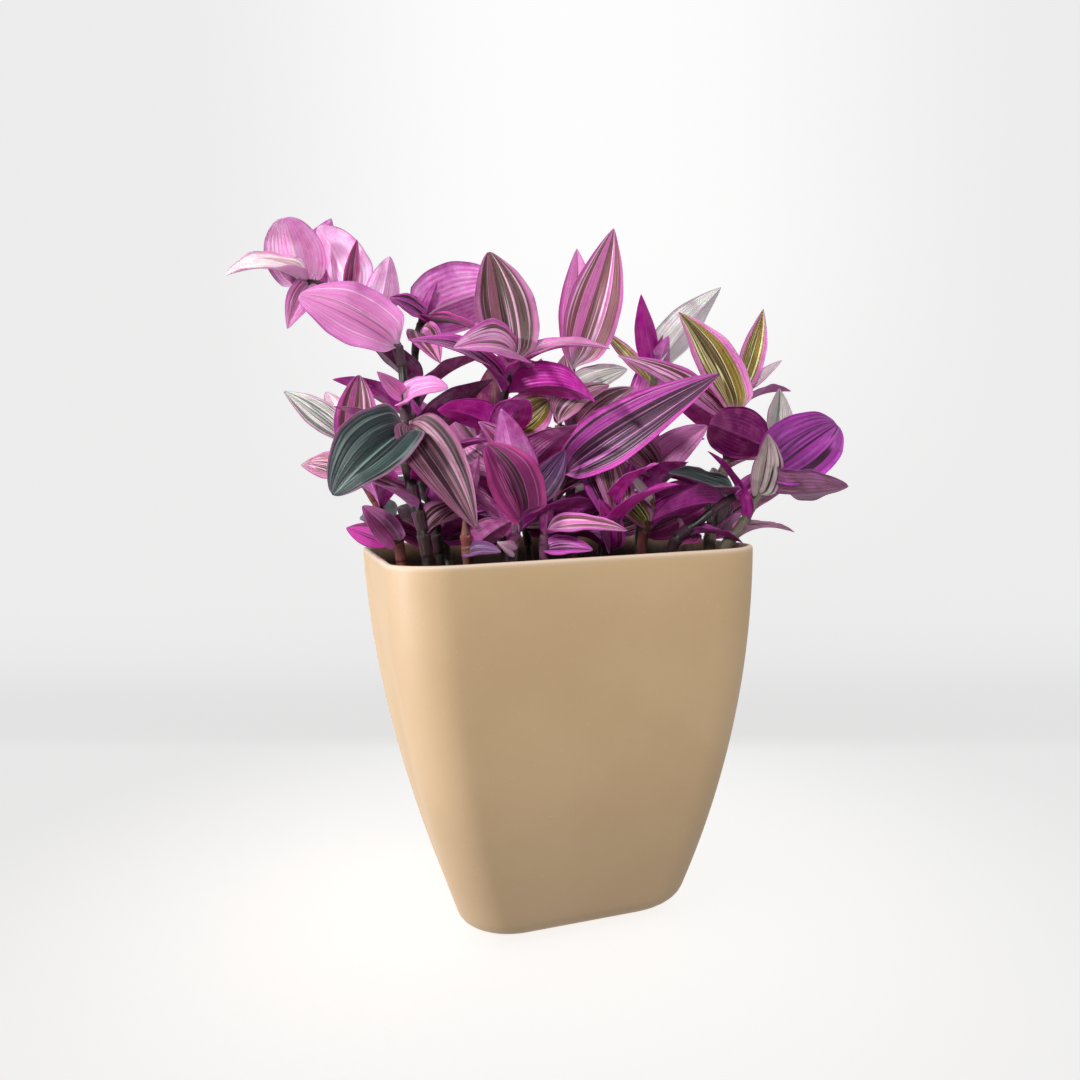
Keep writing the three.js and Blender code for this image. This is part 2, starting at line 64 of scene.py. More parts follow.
# Each shoot has its stem's tint, the knots that the stem runs through, its listed leaves and its
# leaves by rule. A listed leaf is (knot, tip x, tip y, tip z, width, arch, lean, tone): the knot
# that it grows at, counted along the stem, where its tip reaches, its widest width, how far its
# midrib stands out of the straight line, how far its upper side leans from up to the front in
# degrees, and its colouring. Leaves by rule are (from knot, to knot, how many, mean length, tones).
STEM_FOOT = 104
SHOOTS = {
    "shoot_left_tall": {
        "stem": "dark",
        "knots": [
            (-56, -31, STEM_FOOT), (-56, -31, 153), (-59, -30, 175), (-62, -26, 195),
            (-61, -22, 216), (-62, -18, 239), (-69, -14, 254), (-83, -8, 265), (-98, -3, 269),
        ],
        "leaves": [
            (5.1, -100, -16, 261, 30, 4, 70, "pink"),
            (8, -104, -9, 293, 27, 4, -70, "pink"),
            (7.9, -127, -7, 274, 22, 5, 30, "pale"),
            (7.8, -105, -15, 248, 12, 2, 60, "pink"),
            (6.9, -99, 2, 289, 26, 4, -60, "pink"),
            (7.7, -84, 18, 302, 23, 5, -60, "rose"),
            (6.8, -76, -12, 285, 7, 1, 60, "wine"),
            (6, -63, -11, 279, 16, 2, -80, "pink"),
            (3.5, -92, -41, 182, 31, 8, 55, "green"),
            (3.7, -39, -59, 173, 25, 5, 75, "mauve"),
            (4, -46, -38, 222, 16, 4, 50, "pink"),
            (4.2, -69, -30, 232, 8, 1, 80, "pink"),
        ],
        "fill": (1.2, 3.2, 4, 40, ("plum", "rose", "purple")),
    },
    "shoot_left_back": {
        "stem": "dark",
        "knots": [
            (-47, -7, STEM_FOOT), (-47, -7, 154), (-53, -2, 196), (-54, -1, 221),
            (-53, -4, 244), (-49, -4, 256),
        ],
        "leaves": [
            (5, -12, -4, 270, 34, 7, -65, "blush"),
            (4.9, -64, -11, 262, 12, 2, 60, "purple"),
            (4.7, -30, -26, 246, 14, 3, 20, "wine"),
            (4.4, -44, -31, 240, 15, 3, 70, "rose"),
            (1.9, -82, 3, 192, 15, 3, 60, "rose"),
            (1.2, -60, 22, 176, 16, 3, 65, "wine"),
        ],
        "fill": (1.2, 3.3, 6, 42, ("purple", "plum", "green")),
    },
    "shoot_left_low": {
        "stem": "red",
        "knots": [(-63, 0, STEM_FOOT), (-63, 0, 155), (-70, -3, 172), (-78, 1, 191), (-82, 3, 204)],
        "leaves": [
            (4, -108, 12, 227, 15, 3, 70, "silver"),
            (3.7, -77, -2, 232, 20, 3, 80, "rose"),
            (4, -90, 22, 231, 12, 3, 50, "pale"),
            (1.3, -78, -4, 178, 14, 3, 75, "pink"),
            (1.2, -84, 24, 167, 13, 2, 75, "magenta"),
        ],
        "fill": (1.2, 3.6, 4, 40, ("green", "rose", "plum")),
    },
    "shoot_centre_left": {
        "stem": "dark",
        "knots": [
            (-24, -35, STEM_FOOT), (-24, -35, 154), (-25, -36, 178), (-25, -36, 198),
            (-24, -36, 217), (-20, -36, 231),
        ],
        "leaves": [
            (5, -26, -31, 277, 28, 4, 75, "plum"),
            (4.9, -46, -61, 241, 22, 9, 55, "rose"),
            (4.2, -62, -45, 239, 16, 8, 40, "purple"),
            (4.6, 9, -62, 241, 17, 7, 30, "rose"),
            (4.2, 2, -73, 216, 20, 8, -60, "magenta"),
            (3.4, -52, -46, 213, 15, 4, -50, "magenta"),
            (2.9, -37, -49, 208, 12, 2, 70, "rose"),
            (3.3, -3, -30, 218, 20, 3, 80, "olive"),
        ],
        "fill": (1.1, 3.2, 4, 42, ("purple", "plum", "rose")),
    },
    "shoot_front_centre": {
        "stem": "purple",
        "knots": [(-27, -53, STEM_FOOT), (-27, -53, 155), (-25, -53, 165), (-22, -53, 176)],
        "leaves": [
            (2.6, -36, -58, 199, 25, 5, 60, "wine"),
            (3, -5, -58, 198, 14, 3, 70, "dusk"),
            (1.3, -36, -68, 163, 6, 1, 85, "pale"),
        ],
        "fill": (1.1, 2.8, 3, 38, ("plum", "purple", "rose")),
    },
    "shoot_centre": {
        "stem": "green",
        "knots": [(-9, -37, STEM_FOOT), (-9, -37, 154), (-6, -38, 173), (-1, -40, 187), (-1, -38, 207)],
        "leaves": [
            (3, 48, -82, 222, 26, 4, 65, "purple"),
            (4, 15, -50, 223, 15, 4, 40, "plum"),
            (4, 0, -35, 243, 14, 2, 80, "plum"),
        ],
        "fill": (1.1, 2.8, 4, 42, ("purple", "plum", "wine")),
    },
    "shoot_tall": {
        "stem": "purple",
        "knots": [(12, -10, STEM_FOOT), (12, -10, 151), (12, -11, 185), (13, -12, 217), (13, -13, 233)],
        "leaves": [
            (4, 33, -18, 293, 27, 4, 85, "blush"),
            (3.9, 21, -3, 288, 20, 4, 75, "blush"),
            (3.3, 36, -22, 232, 15, 3, 60, "silver"),
            (1.8, 37, -11, 220, 19, 3, 70, "pale"),
            (1.3, 36, 8, 176, 18, 3, 65, "purple"),
        ],
        "fill": (1.2, 3.4, 6, 44, ("plum", "purple", "green")),
    },
    "shoot_right_top": {
        "stem": "green",
        "knots": [(60, -46, STEM_FOOT), (60, -46, 150), (65, -46, 174), (72, -45, 199), (76, -44, 218)],
        "leaves": [
            (3.5, 54, -36, 254, 24, 5, 70, "olive"),
            (3.1, 22, -45, 234, 20, 6, 50, "rose"),
            (4, 86, -40, 259, 13, 2, 85, "olive"),
            (4, 98, -43, 235, 6, 1, 60, "pale"),
            (1.6, 64, -39, 187, 15, 3, 70, "silver"),
            (1.3, 84, -30, 172, 18, 3, 60, "magenta"),
        ],
        "fill": (1.2, 3.8, 5, 40, ("rose", "purple", "plum")),
    },
    "shoot_right_back": {
        "stem": "green",
        "knots": [(50, 4, STEM_FOOT), (50, 4, 148), (54, 1, 198), (56, -6, 233)],
        "leaves": [
            (3, 83, -20, 269, 21, 4, -70, "silver"),
            (3, 51, -11, 268, 12, 2, -70, "magenta"),
            (2.8, 37, 0, 259, 9, 2, 60, "olive"),
            (1.2, 84, -6, 172, 20, 3, 65, "wine"),
        ],
        "fill": (1.2, 2.4, 6, 44, ("purple", "rose", "green")),
    },
    "shoot_right": {
        "stem": "green",
        "knots": [(58, -60, STEM_FOOT), (58, -60, 149), (68, -62, 165), (76, -61, 179), (84, -59, 194)],
        "leaves": [
            (4, 53, -61, 207, 24, 5, -65, "wine"),
            (4, 91, -53, 220, 14, 1, 85, "silver"),
            (3.2, 113, -61, 204, 31, 5, 62, "violet"),
            (3, 105, -79, 179, 26, -3, -35, "violet"),
            (2.8, 73, -73, 200, 16, 2, 85, "ash"),
        ],
        "fill": (1.4, 2.2, 2, 30, ("plum", "magenta")),
    },
    "shoot_right_mid": {
        "stem": "dark",
        "knots": [(37, -58, STEM_FOOT), (37, -58, 153), (49, -62, 167), (62, -65, 176)],
        "leaves": [
            (3, 32, -69, 186, 19, 1, 25, "green"),
            (2.8, 26, -71, 174, 17, 3, -50, "magenta"),
            (1.3, 52, -46, 166, 14, 3, 70, "wine"),
        ],
        "fill": (1.3, 2.6, 2, 34, ("purple", "magenta")),
    },
    "shoot_mid_right": {
        "stem": "red",
        "knots": [(34, -36, STEM_FOOT), (34, -36, 152), (37, -38, 169), (39, -38, 188)],
        "leaves": [
            (2.2, 22, -50, 187, 8, 1, 60, "pale"),
            (3, 58, -52, 205, 17, 3, 60, "pink"),
            (3, 25, -47, 215, 16, 3, 60, "plum"),
            (1.7, 19, -37, 188, 13, 3, 70, "olive"),
        ],
        "fill": (1.3, 3, 4, 40, ("magenta", "plum", "purple")),
    },
    "shoot_low_centre": {
        "stem": "purple",
        "knots": [(-15, -57, STEM_FOOT), (-15, -57, 153), (-14, -56, 164)],
        "leaves": [
            (2, 12, -76, 165, 14, 3, 35, "rose"),
            (1.4, 1, -68, 158, 11, 2, 50, "purple"),
        ],
        "fill": (1.2, 2, 2, 30, ("wine", "purple")),
    },
    "shoot_low_left": {
        "stem": "red",
        "knots": [(-42, -45, STEM_FOOT), (-42, -45, 152), (-43, -46, 166), (-41, -46, 179)],
        "leaves": [
            (1.3, -34, -66, 159, 10, 2, 60, "dusk"),
        ],
        "fill": (1.2, 3, 4, 36, ("plum", "wine", "rose")),
    },
    "shoot_low_right": {
        "stem": "dark",
        "knots": [(11, -54, STEM_FOOT), (11, -54, 150), (13, -56, 163), (17, -55, 175)],
        "leaves": [
            (2.2, 7, -37, 195, 15, 3, 60, "purple"),
            (1.5, 6, -62, 177, 13, 3, 50, "magenta"),
        ],
        "fill": (1.2, 3, 4, 36, ("purple", "magenta", "plum")),
    },
    "shoot_inner": {
        "stem": "purple",
        "knots": [(-14, 4, STEM_FOOT), (-15, 4, 150), (-18, 4, 178), (-17, 3, 204)],
        "leaves": [
            (1.6, -1, 11, 190, 20, 3, 75, "purple"),
            (2.4, -37, 32, 225, 18, 3, 75, "rose"),
        ],
        "fill": (1.2, 3, 6, 44, ("plum", "rose", "olive")),
    },
    "shoot_back_left": {
        "stem": "green",
        "knots": [(-34, 36, STEM_FOOT), (-36, 38, 150), (-42, 40, 178), (-45, 42, 200)],
        "leaves": [
            (1.2, -70, 34, 170, 18, 3, 65, "wine"),
            (1.3, -8, 30, 172, 20, 3, 65, "purple"),
        ],
        "fill": (1.2, 3, 6, 44, ("rose", "green", "purple")),
    },
    "shoot_back_middle": {
        "stem": "dark",
        "knots": [(6, 40, STEM_FOOT), (6, 42, 150), (5, 46, 184), (8, 49, 214)],
        "leaves": [
            (1.3, 38, 30, 168, 20, 3, 65, "wine"),
        ],
        "fill": (1.2, 3, 7, 46, ("plum", "purple", "rose")),
    },
    "shoot_back_right": {
        "stem": "red",
        "knots": [(44, 44, STEM_FOOT), (46, 46, 150), (52, 50, 178), (57, 52, 200)],
        "leaves": [
            (1.3, 80, 36, 168, 20, 3, 65, "plum"),
        ],
        "fill": (1.2, 3, 6, 44, ("rose", "plum", "olive")),
    },
}

# The colouring of each kind of leaf: ground, broad bands, fine lines, margin and underside, then how
# far the bands spread, how strong the lines are and how wide the margin is, from 0 to 1.
TONES = {
    "pink": ("#cc7cb6", "#a4608c", "#fadcee", "#d878c0", "#eea4d4", (0.1, 0.4, 0.3)),
    "rose": ("#cf72b4", "#6c3c42", "#f8c8e8", "#d460bc", "#d45cbc", (0.6, 0.85, 0.45)),
    "blush": ("#e68ccc", "#8a585e", "#fcd8ef", "#c864b0", "#f084da", (0.5, 0.95, 0.25)),
    "pale": ("#f2d2de", "#c09aa4", "#fff6f0", "#cf88b0", "#ecbcda", (0.25, 0.5, 0.4)),
    "purple": ("#a8389a", "#3c1634", "#d492ca", "#cc4cb2", "#b0249a", (0.7, 0.75, 0.35)),
    "violet": ("#882a86", "#340e30", "#b866be", "#aa3eac", "#8c5a76", (0.2, 0.35, 0.2)),
    "magenta": ("#a41c86", "#4c0a38", "#cf62b6", "#a62088", "#b41c9a", (0.3, 0.35, 0.3)),
    "wine": ("#7c1a60", "#320a22", "#b8689a", "#b43a86", "#80106a", (0.55, 0.7, 0.4)),
    "plum": ("#9a6474", "#4e3430", "#e6b4d0", "#c074a8", "#ac4894", (0.7, 0.85, 0.4)),
    "mauve": ("#704454", "#38222a", "#ae8298", "#9c5c80", "#8a3a74", (0.65, 0.7, 0.3)),
    "dusk": ("#5a3262", "#241226", "#a486ac", "#7c3c7a", "#7a2c74", (0.6, 0.6, 0.3)),
    "ash": ("#c8b0ae", "#3a2024", "#f4e6e2", "#c89ab0", "#d8b8c4", (0.25, 0.6, 0.3)),
    "green": ("#293c3b", "#152122", "#8fa59e", "#84607a", "#7c2866", (0.4, 0.34, 0.12)),
    "olive": ("#7e6c20", "#4a3a12", "#f0e6b4", "#dc74c0", "#b8509c", (0.45, 0.9, 0.6)),
    "silver": ("#b0aca8", "#646f68", "#e2dfdb", "#b890a6", "#efe3e5", (0.45, 0.7, 0.25)),
}
TONE_PARTS = ("ground", "bands", "lines", "margin", "under")
STEM_TINTS = {
    "dark": ("#120c0c", "#2a1c18"),
    "red": ("#4c2420", "#7a4234"),
    "purple": ("#55243f", "#7d4468"),
    "green": ("#46463a", "#75705a"),
}

# How a listed leaf that would cross another is swung clear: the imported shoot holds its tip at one
# of these swings, which run outwards on a spiral, or is shorter, or was left out.
SWING = {"step": 3, "tries": 130, "turn": 137.5, "shrinks": (1, 0.86, 0.72), "match": 0.05}

# A blade's form: where its midrib crests, its folds in degrees, the power that sets its widest
# place, the least half width at its base, and the depth and number of its waves, of the ripples on
# its margin and of its furrows. Wide blades are blunter, from one width for their length to another.
LEAF_RULE = {
    "crest": 0.42, "fold": 20, "base_fold": 62, "widest": 0.68, "least": 1.0, "wave": 0.035,
    "waves": 1.6, "ripple": 0.012, "ripples": 4.1, "furrow": 0.1, "furrows": 5.5,
}
BLUNT = {"from": 0.4, "to": 0.85, "widest": 0.1, "round": 0.35}
# Leaves by rule: the rise of the lowest and how much more the highest rises, in degrees, their
# shape for their length, and how far each measure is drawn about its mean.
FILL_RULE = {
    "rise": 18, "climb": 45, "width": 0.46, "arch": 0.12,
    "turn_draw": 40, "rise_draw": 14, "length_draw": 0.16, "lean_draw": 45, "twist_draw": 16,
}
KEEL = {"height": 0.55, "width": 0.09}
BUD = {"length": 17, "width": 6, "arch": 1.2, "twist": 10}

# How light sinks into fresh leaf and stem, and how soft the leaf's sheen is.
LEAF_GLOSS = (
    ("Subsurface Weight", 0.75), ("Subsurface Radius", (1.0, 0.4, 0.8)), ("Subsurface Scale", 0.002),
    ("Specular IOR Level", 0.3), ("Sheen Weight", 0.03), ("Sheen Roughness", 0.4),
)
STEM_GLOSS = (("Subsurface Weight", 0.12), ("Subsurface Scale", 0.002))

# A stem's radius at its foot and at its top, how much thinner it is drawn than packed, and the
# swelling at a joint. A sheath is (how far down its run, how far out of the stem) from end to end.
STEM_RADII = (2.9, 1.6)
STEM_SLIM = 0.82
SWELLING = {"height": 0.5, "reach": 0.09, "most": 0.7}
SHEATH = [
    (1.0, 0.05), (0.85, 0.3), (0.5, 0.4), (0.2, 0.5), (0, 0.75), (-0.03, 0.6), (0.2, 0.25), (0.9, 0.0),
]

# How many rings of points each stretch of the planter and of the compost has.
RINGS = {"fillet": 8, "wall": 40, "lip": 8, "inside": 30, "fill": 12, "surface": 44}

# The sweep in metres: how far it runs to the front, up and to each side, the radius of its bend and
# the bend's steps. The paper glows with painted light, in greys that are (from, to, grey there, grey
# there): a pool round the planter's foot by distance, a painted darker band from the edge rising up
# its run, and a lighter glow high in the wall's middle.
SWEEP = {"front": 3.0, "top": 3.5, "side": 4, "bend": 0.2, "steps": 16}
BACKDROP_GLOW = {
    "near": (0.03, 0.34, 0.77, 0.59), "rise": (0.08, 0.38, 0.55, 0.63), "halo": 0.77,
    "constants": (
        ("Emission Strength", 1.0), ("Base Color", (0.6, 0.6, 0.6, 1)), ("Roughness", 0.9),
        ("Specular IOR Level", 0.0),
    ),
}

# Each lamp has what it falls on, its place and its target in metres, its width and its colour.
LAMPS = {
    "key": ("pot", (-1.35, 0.12, 0.09), (0, 0, 0.12), 0.3, (0.97, 0.98, 1.08)),
    "front": ("pot", (-0.3, -0.9, 1.35), (0, 0, 0.1), 0.9, (1, 1, 1)),
    "sun": ("leafy", (-1.15, -0.25, 0.8), (0, 0, 0.22), 0.14, (1, 0.98, 0.96)),
    "leaves": ("leafy", (-0.45, -1.1, 0.75), (0, 0, 0.22), 0.3, (1, 0.97, 0.97)),
}


# ------------------------------------------------------------------ settings


def millimetres(name, description, default):
    """A setting that holds a length."""
    return FloatProperty(name=name, description=description + ", in millimetres", default=default)


def number(name, description, default, **options):
    """A setting that holds any other number."""
    return FloatProperty(name=name, description=description, default=default, **options)


def whole(name, description, default):
    """A setting that holds a whole number."""
    return IntProperty(name=name, description=description, default=default)


PLANTER_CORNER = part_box("planter")[1]


class PlanterSettings(bpy.types.PropertyGroup):
    height: millimetres("Height", "Foot to rim", PLANTER_CORNER[2] / MM)
    rim_half: millimetres("Half of the rim", "Half of the rim's side", PLANTER_CORNER[0] / MM)
    foot_half: millimetres("Half of the foot", "Half of the tapered wall's side at the surface", 46.8)
    bow: number("Bow", "How far the wall bulges out of a straight taper", 0.854)
    rim_corner: millimetres("Rim corner", "Corner radius at the rim", 25)
    foot_corner: millimetres("Foot corner", "Corner radius at the foot", 19)
    fillet: millimetres("Foot fillet", "Rounding of the foot's edge", 9)
    wall: millimetres("Wall", "Wall thickness", 2.6)
    floor: millimetres("Floor", "Floor thickness", 3.5)
    drain_radius: millimetres("Drain radius", "Radius of a drain hole", 4.5)
    drain_offset: millimetres("Drain offset", "Drain hole from the middle", 24)
    color: FloatVectorProperty(
        name="Colour",
        description="Colour of the moulded plastic",
        subtype="COLOR",
        default=(0.71, 0.49, 0.27),
    )


class CompostSettings(bpy.types.PropertyGroup):
    top: millimetres("Level", "Height of the surface", 136)
    crumbs: whole("Crumbs", "Loose bits on the surface", 850)
    crumb_size: millimetres("Crumb size", "Mean width of a loose bit", 2.6)


class ShootSettings(bpy.types.PropertyGroup):
    blade_rows: whole("Blade rows", "Faces along a leaf", 34)
    blade_columns: whole("Blade columns", "Faces across half a leaf", 8)
    thickness: millimetres("Thickness", "Thickness of a leaf", 0.6)
    stem_sides: whole("Stem sides", "Faces around a stem", 14)
    sheath: millimetres("Sheath", "Length of the sheath under a leaf", 8)


class StageSettings(bpy.types.PropertyGroup):
    wall: millimetres("Wall", "Wall of the sweep behind the planter's axis", 620)
    edge: millimetres("Edge", "Where the sweep turns grey behind the planter's axis", 214)
    wall_turn: number("Wall turn", "Turn of the wall for each turn of the camera's roll", 3.3)
    fill: number("Fill", "Strength of the light from all around", 0.36)
    key: number("Key", "Power of the main light on the planter in watts", 16.5)
    front: number("Front", "Power of the planter's light in front in watts", 16)
    sun: number("Sun", "Power of the hard light on the leaves in watts", 17)
    leaves: number("Leaves", "Power of the soft light on the leaves in watts", 9)
    yaw: number("Camera yaw", "Turn to the right of straight ahead", 0.282, unit="ROTATION")
    pitch: number("Camera pitch", "Tilt downwards", 0.064, unit="ROTATION")
    roll: number("Camera roll", "Turn about the view", 0.035, unit="ROTATION")
    lens: millimetres("Lens", "Focal length", 28.09)
    distance: millimetres("Distance", "Camera from the planter's axis", 380.8)
    eye: millimetres("Eye height", "Camera above the surface", 182.8)


# ------------------------------------------------------------------ small helpers


def tint(code):
    """The linear colour of a hex code."""
    parts = [int(code[i : i + 2], 16) / 255 for i in (1, 3, 5)]
    return tuple(p / 12.92 if p <= 0.04045 else ((p + 0.055) / 1.055) ** 2.4 for p in parts) + (1,)


def smooth(low, high, value):
    """A smooth step from 0 at low to 1 at high."""
    t = np.clip((value - low) / (high - low), 0, 1)
    return t * t * (3 - 2 * t)


class Parts:
    """Points, faces and point values gathered for one mesh."""

    def __init__(self):
        self.points, self.faces, self.slots, self.values, self.count = [], [], [], {}, 0

    def add(self, points, faces, slot=0, **values):
        """Adds points in millimetres with their faces. Each value is one for all or one a point."""
        points = np.asarray(points, float).reshape(-1, 3)
        self.points.append(points)
        self.faces += [tuple(int(i) + self.count for i in face) for face in faces]
        self.slots += [slot] * len(faces)
        for name, value in values.items():
            value = np.asarray(value, float)
            if value.ndim == 0 or value.shape[0] != len(points):
                value = np.broadcast_to(value, (len(points),) + value.shape)
            self.values.setdefault(name, []).append(value)
        self.count += len(points)

    def mesh(self, name):
        """The object with its UV map and its attributes."""
        mesh = bpy.data.meshes.new(name)
        points = np.concatenate(self.points) * MM
        mesh.from_pydata(points.tolist(), [], self.faces)
        mesh.polygons.foreach_set("use_smooth", [True] * len(mesh.polygons))
        mesh.polygons.foreach_set("material_index", self.slots)
        for label, chunks in self.values.items():
            data = np.concatenate(chunks)
            if label == "uv":
                loops = np.empty(len(mesh.loops), int)
                mesh.loops.foreach_get("vertex_index", loops)
                layer = mesh.uv_layers.new(name="grain")
                layer.data.foreach_set("uv", data[loops].ravel())
            elif data.ndim == 2:
                attribute = mesh.attributes.new(label, "FLOAT_COLOR", "POINT")
                attribute.data.foreach_set("color", data.ravel())
            else:
                attribute = mesh.attributes.new(label, "FLOAT", "POINT")
                attribute.data.foreach_set("value", data)
        mesh.update()
        obj = bpy.data.objects.new(name, mesh)
        bpy.context.scene.collection.objects.link(obj)
        return obj


def grid_faces(rows, around, closed=True, start=0):
    """Quads between rows of points, each row holding around points."""
    faces = []
    for i in range(rows - 1):
        for j in range(around if closed else around - 1):
            a = start + i * around + j
            b = start + i * around + (j + 1) % around
            faces.append((a, b, b + around, a + around))
    return faces


def give_materials(obj, *materials):
    for material in materials:
        obj.data.materials.append(material)


# ------------------------------------------------------------------ shader helpers


class Nodes:
    """A short way to write shader nodes and to link them."""

    def __init__(self, tree):
        self.tree = tree

    def new(self, kind, inputs=None, **settings):
        node = self.tree.nodes.new(kind)
        for key, value in settings.items():
            setattr(node, key, value)
        for key, value in (inputs or {}).items():
            self.feed(node.inputs[key], value)
        return node

    def feed(self, socket, value):
        """Links a socket to another, or sets its value."""
        if isinstance(value, bpy.types.NodeSocket):
            self.tree.links.new(value, socket)
        else:
            socket.default_value = value

    def math(self, operation, a, b=0.0, c=0.0):
        return self.new("ShaderNodeMath", {0: a, 1: b, 2: c}, operation=operation).outputs[0]

    def vector_math(self, operation, a, b, output=0):
        return self.new("ShaderNodeVectorMath", {0: a, 1: b}, operation=operation).outputs[output]

    def mix(self, factor, a, b):
        inputs = {0: factor, 6: a, 7: b}
        return self.new("ShaderNodeMix", inputs, data_type="RGBA", clamp_factor=True).outputs[2]

    def step(self, value, low, high, out_low=0.0, out_high=1.0):
        node = self.new(
            "ShaderNodeMapRange",
            {0: value, 1: low, 2: high, 3: out_low, 4: out_high},
            interpolation_type="SMOOTHSTEP",
        )
        return node.outputs[0]

    def lay(self, under, over, value, low, high, most=1.0):
        """Lays a colour over another, from none of it at low to the most of it at high."""
        return self.mix(self.step(value, low, high, 0.0, most), under, over)

    def noise(self, vector, scale, detail=2.0, roughness=0.5):
        inputs = {"Vector": vector, "Scale": scale, "Detail": detail, "Roughness": roughness}
        return self.new("ShaderNodeTexNoise", inputs).outputs["Fac"]

    def join(self, x, y, z=0.0):
        return self.new("ShaderNodeCombineXYZ", {0: x, 1: y, 2: z}).outputs[0]

    def attribute(self, name, output="Color"):
        return self.new("ShaderNodeAttribute", attribute_name=name).outputs[output]

    def place(self):
        return self.new("ShaderNodeTexCoord").outputs["Object"]


def new_material(name):
    """A material, its nodes and the sockets of its shader."""
    material = bpy.data.materials.new(name)
    material.use_nodes = True
    return material, Nodes(material.node_tree), material.node_tree.nodes["Principled BSDF"].inputs


def finish(n, shader, color, rough, relief, strength, depth, constants=()):
    """Gives a shader its colour, its roughness, a relief of a depth in metres, and its constants."""
    bump = n.new("ShaderNodeBump", {"Strength": strength, "Distance": depth, "Height": relief})
    for socket, value in (("Base Color", color), ("Roughness", rough), ("Normal", bump.outputs[0])):
        n.feed(shader[socket], value)
    for socket, value in constants:
        shader[socket].default_value = value


def new_group(name, inputs, outputs):
    """A shader node group with its sockets, and its input and output nodes."""
    group = bpy.data.node_groups.new(name, "ShaderNodeTree")
    for label, kind in inputs:
        group.interface.new_socket(label, in_out="INPUT", socket_type=kind)
    for label, kind in outputs:
        group.interface.new_socket(label, in_out="OUTPUT", socket_type=kind)
    nodes = Nodes(group)
    return group, nodes, nodes.new("NodeGroupInput").outputs, nodes.new("NodeGroupOutput").inputs


COLOR, FLOAT = "NodeSocketColor", "NodeSocketFloat"


def stripes_group():
    """The lengthwise stripes of a leaf or a sheath, from its map: x across, y along."""
    inputs = [("Ground", COLOR), ("Bands", COLOR), ("Lines", COLOR), ("Margin", COLOR)]
    inputs += [("Pattern", COLOR), ("Seed", FLOAT)]
    outputs = [("Color", COLOR), ("Veins", FLOAT), ("Hair", FLOAT), ("Reach", FLOAT)]
    group, n, put, out = new_group("striped blade", inputs, outputs)
    place = n.new("ShaderNodeSeparateXYZ", {0: n.new("ShaderNodeUVMap", uv_map="grain").outputs[0]})
    amounts = n.new("ShaderNodeSeparateColor", {0: put["Pattern"]})
    spread, strength, rim = amounts.outputs
    across, along = place.outputs[0], place.outputs[1]
    side = n.math("MULTIPLY_ADD", across, 2.0, -1.0)
    reach = n.math("ABSOLUTE", side)
    seed = n.math("MULTIPLY", put["Seed"], 19.0)
    slow = n.math("MULTIPLY", along, 0.5)
    places = [n.join(n.math("MULTIPLY", side, 3.3), slow, seed)]
    for density, run, offset in ((8.5, slow, 7.0), (30.0, along, 3.0)):
        places.append(n.join(n.math("MULTIPLY", side, density), run, n.math("ADD", seed, offset)))
    broad = n.noise(places[0], 1.0, 1.0, 0.35)
    fine = n.noise(places[1], 1.0, 2.0, 0.5)
    hair = n.noise(places[2], 1.0, 1.0, 0.5)
    # Broad dark bands, where the noise passes a level that falls as they spread, and at the heart.
    over = n.math("SUBTRACT", broad, n.math("MULTIPLY_ADD", spread, -0.2, 0.64))
    belly = n.math("SINE", n.math("MULTIPLY", along, pi))
    heart = n.math("MULTIPLY", belly, n.math("MULTIPLY_ADD", spread, 0.1, 0.03))
    centre = n.step(n.math("SUBTRACT", heart, reach), -0.03, 0.05)
    dark = n.math("MAXIMUM", n.step(over, -0.012, 0.02), n.math("MULTIPLY", centre, 0.9))
    color = n.mix(dark, put["Ground"], put["Bands"])
    # Pale lines, alone and along the sides of the bands.
    edge = n.math("ABSOLUTE", n.math("ADD", over, 0.02))
    beside = n.math("SUBTRACT", 1.0, n.step(edge, 0.006, 0.022))
    streak = n.math("MAXIMUM", n.step(fine, 0.58, 0.63), n.math("MULTIPLY", beside, 0.9))
    color = n.mix(n.math("MULTIPLY", streak, strength), color, put["Lines"])
    color = n.lay(color, put["Lines"], hair, 0.55, 0.75, 0.28)
    color = n.lay(color, put["Bands"], hair, 0.48, 0.28, 0.35)
    # The margin, the edge itself, the midrib, and the paler base.
    rough = n.math("MULTIPLY", fine, 0.06)
    start = n.math("SUBTRACT", n.math("MULTIPLY_ADD", rim, -0.42, 0.98), rough)
    margin = n.step(n.math("SUBTRACT", reach, start), -0.02, 0.05)
    color = n.mix(n.math("MULTIPLY", margin, 0.85), color, put["Margin"])
    color = n.lay(color, put["Bands"], reach, 0.965, 1.0, 0.45)
    color = n.lay(color, put["Bands"], reach, 0.045, 0.012, 0.7)
    color = n.lay(color, put["Lines"], along, 0.22, 0.0, 0.4)
    veins = n.math("SINE", n.math("MULTIPLY", side, 46.0))
    relief = n.math("MULTIPLY_ADD", veins, 0.5, hair)
    for name, value in (("Color", color), ("Veins", relief), ("Hair", hair), ("Reach", reach)):
        n.feed(out[name], value)
    return group


